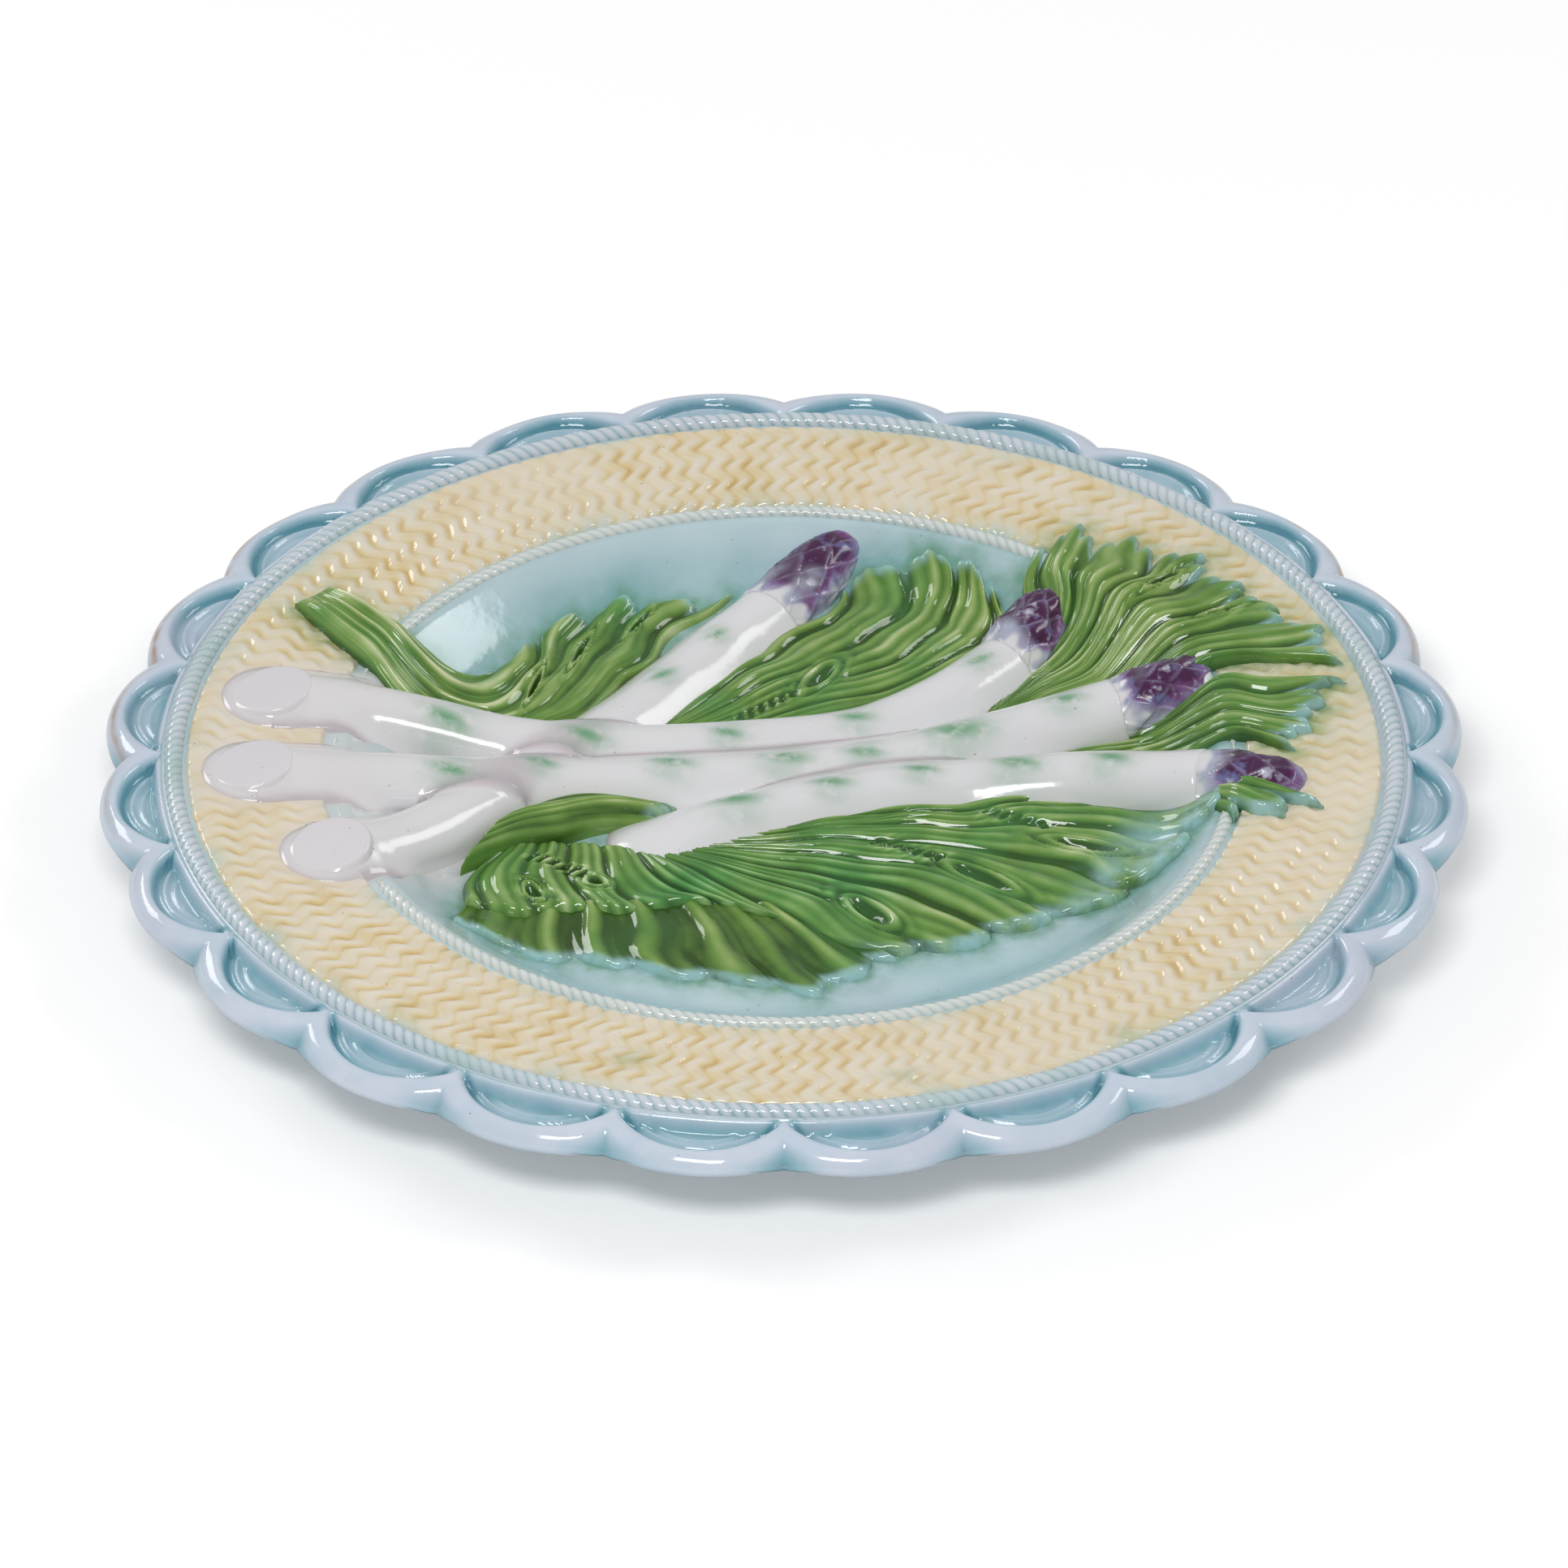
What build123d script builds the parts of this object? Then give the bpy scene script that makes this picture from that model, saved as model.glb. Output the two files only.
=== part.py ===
from build123d import *
import os
from math import cos, degrees, radians, sin, tan

# Driving dimensions, in millimetres. The plate stands on its foot ring at z = 0, centred on the Z axis.
plate_diameter = 240.0  # across opposite scallop peaks

# Foot ring and well
foot_height = 3.0
foot_spread = 4.0  # how far the foot ring stands out past the flat floor of the well
foot_width = 5.0
foot_draft = 0.8  # how far each side of the foot leans in towards its flat bottom
floor_thickness = 4.4
well_slope = 11.0  # width of the sloping side, seen from above
well_depth = 8.6  # from the floor up to the shoulder
cavetto_fillet = 13.0
shoulder_fillet = 3.0

# Rim
rim_width = 31.9  # from the shoulder of the well out to the scallops
rim_rise = 2.0  # the rim climbs this much from the shoulder to the scallops
rim_thickness = 5.0
under_fillet = 6.0  # underneath, where the rim turns down to the foot

# Borders on the rim
inner_rope_inset = 2.0  # from the shoulder to the middle of the inner cord
inner_rope_size = 2.6  # width of the half-round cord
outer_rope_size = 3.4
band_height = 0.8  # the wicker band stands this much above the rim
band_gap = 0.4  # bare rim between the band and each cord

# Scalloped edge
scallop_count = 24
edge_width = 11.1  # from the rim out to the scallop peaks
scallop_rise = 3.4  # how far a peak stands out past the cusps beside it
edge_thickness = 5.0
lip_fillet = 2.2  # rounding of the rolled lip, above and below
panel_depth = 2.2
panel_lip = 3.6  # width of the lip between a panel and the scallop peak
panel_post = 3.4  # width of the post between two panels
panel_sill = 0.9  # width of the sill between a panel and the rim
ridge_width = 0.9  # thin ridge that follows the arch inside each panel
ridge_inset = 1.6  # from the arch of the panel to the ridge
ridge_height = 1.0

# Asparagus spears
stalk_radius = 6.4
stalk_sink = 1.0  # how far a stalk's centre line lies below the surface that it follows
bud_swell = 0.7  # the bud is this much fatter than its stalk
bud_tiers = (0.36, 0.66)  # where the two lower tiers of scales end, as shares of the bud's length
scale_step = 0.8  # step from one tier of scales down to the next
cut_radius = 7.0  # round cut face at a stalk's end
cut_tilt = 12.0  # degrees from level of the cut face
cut_drop = 1.6  # from the stalk's crown down to the middle of the cut face

# Leaves
leaf_height = 2.4
large_leaf_height = 3.2
vein_depth = 0.8
vein_width = 1.3
stem_width = 7.0
hook_height = 7.5
eye_length = 7.0  # eye-shaped hollows in the larger leaves
eye_width = 3.0

# Heights and radii that follow from the sizes above
floor_top = foot_height + floor_thickness
shoulder_top = floor_top + well_depth
seat_top = shoulder_top + rim_rise
edge_seat_radius = plate_diameter / 2 - edge_width
shoulder_radius = edge_seat_radius - rim_width
well_radius = shoulder_radius - well_slope  # where the flat floor would meet the sloping side
foot_outer_radius = well_radius + foot_spread
inner_rope_radius = shoulder_radius + inner_rope_inset
outer_rope_radius = edge_seat_radius - band_gap - outer_rope_size / 2
under_shoulder_radius = shoulder_radius + well_slope * rim_thickness / well_depth
tall = 60.0  # reach of cutting tools above the plate
straight_limit = 0.01  # an arc that rises less than this is drawn as a straight line
crumb_volume = 5.0  # cubic millimetres: a bit smaller than this, cut off by a neighbour, isn't kept

# Layout of the spears and leaves in plan, drawn for a well of this radius and scaled to fit the real one.
layout_radius = 66.0
layout_scale = well_radius / layout_radius

# Each spear is a list of (x, y, climb): climb is 0 on the floor of the well and 1 at the shoulder.
# The first point is the middle of the stalk's end, and the last two are the two ends of the bud.
spear_points = {
    1: [(-81.3, -19.1, 1.1), (-66.0, -11.5, 0.6), (-28.2, 24.5, -0.2), (4.5, 57.3, 0.1), (22.5, 74.5, 0.62)],
    2: [
        (-86.9, 29.1, 1.15),
        (-66.0, 26.0, 0.75),
        (-40.0, 17.0, 0.1),
        (10.0, 15.0, 0.0),
        (31.0, 24.0, 0.05),
        (44.5, 35.5, 0.15),
        (56.0, 51.0, 0.62),
    ],
    3: [
        (-92.4, 6.4, 1.15),
        (-67.0, 5.0, 0.75),
        (-36.0, 6.5, 0.1),
        (12.0, 5.5, 0.0),
        (38.0, 12.0, 0.1),
        (61.5, 15.0, 0.5),
        (79.0, 18.6, 1.02),
    ],
    4: [
        (-31.0, -14.5, 0.1),
        (-8.0, -6.0, 0.1),
        (24.0, -0.5, 0.05),
        (48.0, -3.0, 0.2),
        (72.5, -13.2, 0.85),
        (89.0, -21.4, 1.2),
    ],
}
# A spear that comes earlier in this order lies over the later ones.
spear_order = [3, 2, 4, 1]
short_spear = 4  # lies in the well, with a rounded end in place of a cut one

# Fronds are (base, tip, width, bow): bow pushes the middle of the frond to the left of the way from base to tip.
large_leaf_fronds = [
    ((-60.0, -17.0), (-22.0, -32.0), 15.0, -2.0),
    ((-54.0, -13.0), (12.0, -36.0), 17.0, -1.0),
    ((-40.0, -16.0), (36.0, -44.5), 18.0, 3.0),
    ((-20.0, -17.0), (51.0, -41.5), 18.0, 5.0),
    ((-8.0, -14.0), (66.5, -34.0), 17.0, 6.5),
    ((4.0, -9.0), (74.0, -23.5), 15.0, 7.0),
]
large_leaf_eyes = [(37.0, -31.5, -28.0), (18.0, -33.5, -42.0)]
large_fringe_fronds = [
    ((-57.0, -20.0), (-61.0, -34.0), 12.0, 1.5),
    ((-50.0, -22.0), (-52.0, -40.5), 12.0, 1.5),
    ((-41.0, -24.0), (-42.0, -44.5), 12.5, 1.5),
    ((-32.0, -25.0), (-31.0, -47.5), 12.0, 1.5),
    ((-23.0, -26.0), (-20.0, -51.5), 11.5, 1.5),
    ((-14.0, -27.0), (-9.0, -55.5), 10.5, 1.5),
    ((-5.0, -28.0), (0.5, -60.0), 10.5, 1.0),
    ((2.0, -29.0), (9.0, -53.0), 10.0, -1.0),
    ((8.0, -30.0), (19.0, -51.0), 10.0, -2.0),
    ((16.0, -32.0), (28.5, -47.5), 9.0, -2.0),
]
stem_leaf_stem = [(-78.0, 59.5), (-71.0, 44.5), (-60.0, 32.0)]  # middle line of the stem, from the rim down
stem_leaf_fronds = [
    ((-68.0, 44.5), (-45.5, 42.0), 9.0, -5.0),
    ((-66.0, 36.0), (-36.0, 26.5), 12.0, -4.0),
    ((-56.0, 29.0), (-42.0, 43.5), 8.0, -4.0),
    ((-50.0, 26.0), (-32.0, 53.5), 11.0, -6.0),
    ((-46.0, 24.0), (-24.0, 62.5), 12.0, -7.0),
    ((-42.0, 23.0), (-13.0, 65.5), 12.0, -6.0),
    ((-38.0, 24.0), (-2.0, 65.0), 11.0, -4.0),
]
middle_leaf_fronds = [
    ((-20.0, 20.5), (24.0, 64.0), 13.0, 3.0),
    ((-19.0, 20.5), (33.0, 64.5), 14.0, -1.0),
    ((-18.0, 20.0), (42.0, 60.0), 15.0, -4.0),
    ((-16.0, 19.5), (46.0, 54.0), 14.0, -6.0),
    ((-14.0, 20.0), (41.0, 41.0), 13.0, -5.0),
]
middle_leaf_eyes = [(11.0, 35.0, 55.0)]
fan_leaf_fronds = [
    ((38.0, 20.0), (55.0, 59.5), 9.0, -4.0),
    ((38.0, 20.0), (64.5, 62.0), 11.0, -4.0),
    ((38.5, 19.5), (72.0, 56.5), 12.0, -3.0),
    ((39.0, 19.0), (81.0, 48.5), 12.0, -2.0),
    ((40.0, 18.0), (88.5, 39.5), 12.0, -1.0),
    ((42.0, 17.0), (92.0, 31.0), 11.0, 1.0),
    ((44.0, 16.0), (98.0, 23.0), 11.0, 2.0),
    ((46.0, 15.0), (101.5, 14.5), 11.0, 3.0),
]
fan_lower_fronds = [
    ((48.0, 4.5), (100.0, 7.5), 10.0, 2.0),
    ((48.0, 4.0), (94.0, 0.5), 11.0, 3.0),
    ((49.0, 3.5), (90.0, -6.0), 11.0, 4.0),
    ((50.0, 3.0), (89.0, -11.5), 9.0, 5.0),
]
small_leaf_fronds = [
    ((70.0, -16.0), (89.5, -30.0), 8.0, -1.0),
    ((69.0, -17.0), (82.0, -31.0), 8.0, -1.0),
    ((68.0, -18.0), (74.5, -29.0), 7.0, -1.0),
]
hook_leaf_frond = ((-56.0, -15.0), (-22.5, -3.5), 9.0, 3.0)


def polar(radius, angle):
    return (radius * cos(radians(angle)), radius * sin(radians(angle)))


def closed_face(*lines):
    """Flat face inside lines that meet end to end."""
    return make_face([edge for line in lines for edge in line.edges()])


def spin(section):
    """Solid of revolution about the plate's axis. The section is drawn as (radius, height)."""
    return revolve(Plane.XZ * section, Axis.Z)


def top_points(lift):
    """Corners of the plate's top line, from the axis to the seat of the scalloped edge."""
    return [
        (0, floor_top + lift),
        (well_radius, floor_top + lift),
        (shoulder_radius, shoulder_top + lift),
        (edge_seat_radius, seat_top + lift),
    ]


def top_line(lift):
    return FilletPolyline(*top_points(lift), radius=[cavetto_fillet, shoulder_fillet])


def under_top(depth):
    """Section of all that lies below the top line, down to a level depth."""
    first, *_, last = top_points(0)
    return closed_face(top_line(0), Polyline(last, (last[0], depth), (0, depth), first))


def skin(low, high):
    """Section of a skin over the top of the plate, from one lift above it to another."""
    inner, *_, outer = zip(top_points(low), top_points(high))
    return closed_face(top_line(low), top_line(high), Line(*inner), Line(*outer))


def rim_height(radius):
    """Height of the flat of the rim at a radius."""
    share = (radius - shoulder_radius) / (edge_seat_radius - shoulder_radius)
    return shoulder_top + share * rim_rise


def body_section():
    seat_under = seat_top - rim_thickness
    foot_inner = foot_outer_radius - foot_width
    underside = FilletPolyline(
        (edge_seat_radius, seat_under),
        (under_shoulder_radius, shoulder_top - rim_thickness),
        (foot_outer_radius, foot_height),
        radius=under_fillet,
    )
    foot = Polyline(
        (foot_outer_radius, foot_height),
        (foot_outer_radius - foot_draft, 0),
        (foot_inner + foot_draft, 0),
        (foot_inner, foot_height),
        (0, foot_height),
        (0, floor_top),
    )
    outer_face = Line((edge_seat_radius, seat_top), (edge_seat_radius, seat_under))
    return closed_face(top_line(0), outer_face, underside, foot)


def rope_section(radius, size):
    """Half-round cord on the rim."""
    return Pos(radius, rim_height(radius)) * Circle(size / 2) - under_top(0)


def band_section():
    """Raised band on the rim, between the two cords."""
    inner = inner_rope_radius + inner_rope_size / 2 + band_gap
    outer = outer_rope_radius - outer_rope_size / 2 - band_gap
    return closed_face(
        Polyline(
            (inner, rim_height(inner)),
            (inner, rim_height(inner) + band_height),
            (outer, rim_height(outer) + band_height),
            (outer, rim_height(outer)),
            close=True,
        )
    )


def make_panel(peak_radius, pitch):
    """Sunk arch inside one scallop, with the thin ridge left standing in it. The scallop points along +X."""
    inner = edge_seat_radius + panel_sill
    half = pitch / 2 - degrees(panel_post / 2 / inner)

    def arch(inset, low):
        """Arch of the panel moved in by inset, closed by an arc of the given radius."""
        side = half - degrees(inset / inner)
        crown = (peak_radius - panel_lip - inset, 0)
        top = ThreePointArc(polar(low, -side), crown, polar(low, side))
        base = ThreePointArc(polar(low, side), (low, 0), polar(low, -side))
        return closed_face(top, base)

    whole = arch(0, inner)
    ridge = arch(ridge_inset, inner) - arch(ridge_inset + ridge_width, inner)
    deep = extrude(whole - ridge, panel_depth + tall)
    shallow = extrude(whole, panel_depth - ridge_height + tall)
    return Pos(0, 0, -panel_depth) * deep + Pos(0, 0, ridge_height - panel_depth) * shallow


def make_edge():
    peak_radius = plate_diameter / 2
    cusp_radius = peak_radius - scallop_rise
    pitch = 360 / scallop_count
    arcs = []
    for number in range(scallop_count):
        middle = number * pitch
        arcs.append(
            ThreePointArc(
                polar(cusp_radius, middle - pitch / 2),
                polar(peak_radius, middle),
                polar(cusp_radius, middle + pitch / 2),
            )
        )
    middle_height = seat_top - edge_thickness / 2
    blank = Pos(0, 0, seat_top - edge_thickness) * extrude(closed_face(*arcs), edge_thickness)
    lip = [edge for edge in blank.edges() if abs(edge.center().Z - middle_height) > edge_thickness / 4]
    ring = fillet(lip, lip_fillet) - Cylinder(edge_seat_radius, tall * 2)
    panel = Pos(0, 0, seat_top) * make_panel(peak_radius, pitch)
    return ring - [Rot(0, 0, number * pitch) * panel for number in range(scallop_count)]


def spear_spot(point):
    """Place in space of one point of a spear's layout."""
    x, y, climb = point
    return Vector(x * layout_scale, y * layout_scale, floor_top + climb * well_depth - stalk_sink)


def spear_path(points):
    """Smooth line through a spear's points: each bend is as wide as its two runs allow."""
    spots = [spear_spot(point) for point in points]
    radii = []
    for before, here, after in zip(spots, spots[1:], spots[2:]):
        run = min((here - before).length, (after - here).length)
        turn = (here - before).get_angle(after - here)
        radii.append(0.45 * run / tan(radians(turn) / 2))
    return FilletPolyline(*spots, radius=radii)


def make_stalk(points, cut):
    """Round stalk along the spear's line, up to the bud. Its lower end is a round cut face that leans out, or rounded."""
    path = spear_path(points[:-1])
    near = path @ 0
    way = path % 0
    stalk = sweep(Plane(origin=near, z_dir=way) * Circle(stalk_radius), path)
    if not cut:
        return stalk + Pos(near) * Sphere(stalk_radius)
    level = Vector(way.X, way.Y, 0).normalized()
    outward = Vector(0, 0, cos(radians(cut_tilt))) - level * sin(radians(cut_tilt))
    spot = near + Vector(0, 0, stalk_radius - cut_drop)
    knife = Plane(origin=spot, z_dir=outward) * Pos(0, 0, tall / 2) * Box(tall, tall, tall)
    return stalk + Pos(near) * Cylinder(cut_radius, tall / 2) - knife


def make_bud(points):
    """Pointed bud that carries on from the end of its stalk."""
    path = spear_path(points[:-1])
    near = path @ 1
    far = spear_spot(points[-1])
    length = (far - near).length
    fat = stalk_radius + bud_swell
    low, high = (share * length for share in bud_tiers)
    profile = closed_face(
        Line((0, 0), (stalk_radius, 0)),
        Bezier((stalk_radius, 0), (fat, low * 0.4), (fat, low)),
        Line((fat, low), (fat - scale_step, low)),
        Bezier((fat - scale_step, low), (fat, (low + high) / 2), (fat - scale_step, high)),
        Line((fat - scale_step, high), (fat - 2 * scale_step, high)),
        Bezier((fat - 2 * scale_step, high), (fat - scale_step, length * 0.9), (fat / 2, length), (0, length)),
        Line((0, length), (0, 0)),
    )
    bud = revolve(profile, Axis.Y)
    return Plane(origin=near, z_dir=path % 1) * Rot(90, 0, 0) * bud


def bowed_line(start, end, rise):
    """Arc from start to end whose middle stands out to the left by rise, or a straight line for no rise."""
    way = (end - start).normalized()
    if abs(rise) < straight_limit:
        return Line(start, end)
    return ThreePointArc(start, (start + end) * 0.5 + Vector(-way.Y, way.X) * rise, end)


def placed(frond):
    """Frond from the layout, at the plate's own size."""
    (base_x, base_y), (tip_x, tip_y), width, bow = frond
    base = (base_x * layout_scale, base_y * layout_scale)
    tip = (tip_x * layout_scale, tip_y * layout_scale)
    return base, tip, width * layout_scale, bow * layout_scale


def frond_face(base, tip, width, bow):
    """Lens-shaped outline from base to tip, in plan."""
    start = Vector(*base)
    end = Vector(*tip)
    upper = bowed_line(start, end, bow + width / 2)
    lower = bowed_line(start, end, bow - width / 2)
    return closed_face(upper, lower)


def vein_face(base, tip, width, bow):
    """Narrow groove down the middle of a frond, clear of its two ends."""
    start = Vector(*base)
    end = Vector(*tip)
    way = (end - start).normalized()
    left = Vector(-way.Y, way.X) * bow
    inner = start + (end - start) * 0.3 + left * 0.84
    outer = start + (end - start) * 0.85 + left * 0.5
    bend = start + (end - start) * 0.575 + left * 0.98 - (inner + outer) * 0.5
    side = bend.dot(Vector(-way.Y, way.X))
    return frond_face((inner.X, inner.Y), (outer.X, outer.Y), vein_width, side)


def column(face):
    """Upright solid over a plan outline, past the plate both ways."""
    return Pos(0, 0, -tall) * extrude(face, 2 * tall)


def outline(fronds, stem=None):
    """Plan outline of a leaf: its overlapping fronds joined, with its stem if it has one."""
    leaf = Sketch() + [frond_face(*placed(frond)) for frond in fronds]
    if stem:
        leaf += SlotArc(ThreePointArc(*[(x * layout_scale, y * layout_scale) for x, y in stem]), stem_width)
    return leaf


def make_leaf(plan, fronds, height, borders, eyes=()):
    """Leaf laid over the plate and its borders, with a vein along each frond and eye-shaped hollows."""
    leaf = spin(skin(0, height) - borders) & column(plan)
    veins = Sketch() + [vein_face(*placed(frond)) for frond in fronds]
    for x, y, turn in eyes:
        eye = Rot(0, 0, turn) * Ellipse(eye_length / 2 * layout_scale, eye_width / 2 * layout_scale)
        veins += Pos(x * layout_scale, y * layout_scale) * eye
    return leaf - (spin(skin(height - vein_depth, height + vein_depth)) & column(veins))


def without_crumbs(shape):
    """The solids of a trimmed piece, less any crumb that a neighbour cuts off it."""
    return Compound([solid for solid in shape.solids() if solid.volume > crumb_volume])


def main():
    os.makedirs("parts", exist_ok=True)
    inner_rope = rope_section(inner_rope_radius, inner_rope_size)
    outer_rope = rope_section(outer_rope_radius, outer_rope_size)
    band = band_section()
    borders = inner_rope + band + outer_rope
    nodes = {
        "plate_body": spin(body_section()),
        "scalloped_edge": make_edge(),
        "outer_rope": spin(outer_rope),
        "inner_rope": spin(inner_rope),
        "basketweave_band": spin(band),
    }

    seat = spin(under_top(-tall) + borders)
    spears = []
    for number in spear_order:
        stalk = make_stalk(spear_points[number], number != short_spear)
        bud = make_bud(spear_points[number])
        nodes[f"stalk_{number}"] = without_crumbs(stalk - seat - spears)
        nodes[f"tip_{number}"] = without_crumbs(bud - seat - spears)
        spears += [stalk, bud]

    leaves = {
        "hook_leaf": ([hook_leaf_frond], hook_height, ()),
        "large_leaf": (large_leaf_fronds, large_leaf_height, large_leaf_eyes),
        "large_leaf_fringe": (large_fringe_fronds, leaf_height, ()),
        "stem_leaf": (stem_leaf_fronds, leaf_height, ()),
        "middle_leaf": (middle_leaf_fronds, leaf_height, middle_leaf_eyes),
        "fan_leaf": (fan_leaf_fronds, leaf_height, ()),
        "fan_leaf_lower": (fan_lower_fronds, leaf_height, ()),
        "small_leaf": (small_leaf_fronds, leaf_height, ()),
    }
    stems = {"stem_leaf": stem_leaf_stem}
    covered = Sketch()
    for name, (fronds, height, eyes) in leaves.items():
        plan = outline(fronds, stems.get(name)) - covered
        leaf = make_leaf(plan, fronds, height, borders, eyes)
        nodes[name] = without_crumbs(leaf - spears)
        covered += plan

    for name, solid in nodes.items():
        export_step(solid, f"parts/{name}.step")


if __name__ == "__main__":
    main()
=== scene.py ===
from math import cos, hypot, pi, radians, sin, tan

import bpy
import numpy as np
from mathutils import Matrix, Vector


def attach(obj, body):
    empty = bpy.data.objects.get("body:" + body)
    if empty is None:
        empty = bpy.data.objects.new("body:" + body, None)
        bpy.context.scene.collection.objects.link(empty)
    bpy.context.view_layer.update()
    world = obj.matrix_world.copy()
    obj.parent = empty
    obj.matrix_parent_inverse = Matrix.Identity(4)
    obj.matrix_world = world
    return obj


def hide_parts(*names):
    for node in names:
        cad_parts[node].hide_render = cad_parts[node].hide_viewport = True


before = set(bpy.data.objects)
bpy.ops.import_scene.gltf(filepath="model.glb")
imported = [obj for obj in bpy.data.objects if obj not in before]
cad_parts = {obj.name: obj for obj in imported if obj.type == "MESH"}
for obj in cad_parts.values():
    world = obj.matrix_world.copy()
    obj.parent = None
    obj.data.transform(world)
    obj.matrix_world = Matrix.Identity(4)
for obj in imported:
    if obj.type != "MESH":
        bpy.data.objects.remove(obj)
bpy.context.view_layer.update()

millimetre = 0.001  # in metres

# Sizes of the plate in millimetres, the same as in the solids.
plate_radius = 120.0
foot_height = 3.0
foot_outer_radius = 70.0
foot_width = 5.0
foot_draft = 0.8
floor_top = 7.4
well_radius = 66.0
well_slope = 11.0
well_depth = 8.6
cavetto_fillet = 13.0
shoulder_fillet = 3.0
under_fillet = 6.0
shoulder_radius = well_radius + well_slope
shoulder_top = floor_top + well_depth
rim_rise = 2.0
rim_thickness = 5.0
seat_top = shoulder_top + rim_rise
edge_width = 11.1
edge_thickness = 5.0
edge_seat_radius = plate_radius - edge_width
inner_rope_inset = 2.0
inner_rope_size = 2.6
inner_rope_radius = shoulder_radius + inner_rope_inset
outer_rope_size = 3.4
band_gap = 0.4  # bare rim between the wicker band and each cord
outer_rope_radius = edge_seat_radius - band_gap - outer_rope_size / 2
band_inner = inner_rope_radius + inner_rope_size / 2 + band_gap
band_outer = outer_rope_radius - outer_rope_size / 2 - band_gap
band_height = 0.8
scallop_count = 24
scallop_rise = 3.4
panel_post = 3.4
stalk_radius = 6.4
stalk_sink = 1.0
cut_radius = 7.0

# Sizes of the moulded detail in millimetres, which the solids leave out or have a little different.
foot_bare = 0.4  # height up to which the foot has no glaze
panel_lip = 3.5
panel_sill = 1.2
panel_depth = 2.6
roll_rounding = 1.8  # round of the lip where it turns down into a panel
ridge_height = 0.9
cusp_dip = 1.6
edge_droop = 0.7  # how far the scallops hang down at their outer edge
lip_reach = 3.9  # width and drop of the round of the lip, which falls away outwards
lip_drop = 2.9
weave_bed = 0.3  # from the rim up to the grooves of the wicker
weave_height = 0.64
weave_rows = 7.6  # rows of wicker across the band
weave_turns = 156  # strands of wicker round the band
cut_tilt = radians(10.0)
cut_drop = 3.2  # from a stalk's crown down to the middle of its cut face
stalk_flatness = 0.92  # height of a stalk's round as a share of its width
glaze_fillet = 4.5  # reach of the glaze that rounds the crease between two stalks
web_reach = 5.5  # reach and height of the glaze that fills the well beside the cut ends of the stalks
web_height = 1.5
web_fade = (-58.0, -38.0)  # x between which it fades out
strand_height = 0.8  # the broad ridge along each strand of a leaf
rib_height = 0.42  # the finer ribs between them
eye_depth = 1.4  # hollows pressed into the leaves
fold_height = 0.9  # how far the large leaf rises where it is turned over
border_lift = 1.6  # how far a leaf rises to lie over the borders on the rim
buried = 0.4  # how far a relief piece reaches down into what it lies on
path_step = 0.7  # spacing of the points along a stalk and along a leaf's strands
leaf_step = 0.72

# Layout of the spears: (x, y, climb), as in the solids.
spear_points = {
    1: [(-81.3, -19.1, 1.1), (-66, -11.5, 0.6), (-28.2, 24.5, -0.2), (4.5, 57.3, 0.1), (22.5, 74.5, 0.62)],
    2: [
        (-86.9, 29.1, 1.15),
        (-66, 26, 0.75),
        (-40, 17, 0.1),
        (10, 15, 0),
        (31, 24, 0.05),
        (44.5, 35.5, 0.15),
        (56, 51, 0.62),
    ],
    3: [
        (-92.4, 6.4, 1.15),
        (-67, 5, 0.75),
        (-36, 6.5, 0.1),
        (12, 5.5, 0),
        (38, 12, 0.1),
        (61.5, 15, 0.5),
        (79, 18.6, 1.02),
    ],
    4: [
        (-31, -14.5, 0.1),
        (-8, -6, 0.1),
        (24, -0.5, 0.05),
        (48, -3, 0.2),
        (72.5, -13.2, 0.85),
        (89, -21.4, 1.2),
    ],
}
short_spear = 4
# Green dabs on each stalk: (x, y, length).
dabs = {
    1: [(-17, 36, 5), (-6, 46.5, 4)],
    2: [(-57, 20.5, 8), (-33, 16, 7.5), (-8, 15, 5.5), (15, 17.5, 6), (39, 31, 5)],
    3: [(-58, 3.5, 7), (-42, 7, 5.5), (-19, 7, 7), (1, 6.5, 8), (15, 6, 6), (32, 10.5, 11), (52, 14, 6)],
    4: [(-9, -6, 8), (8, -3, 6.5), (24, -1, 6), (41, -2.5, 8), (57, -6.5, 7)],
}
# Green smears on the wicker: (x, y).
smears = [(46, -91), (8, -98), (-38, -87)]

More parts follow.
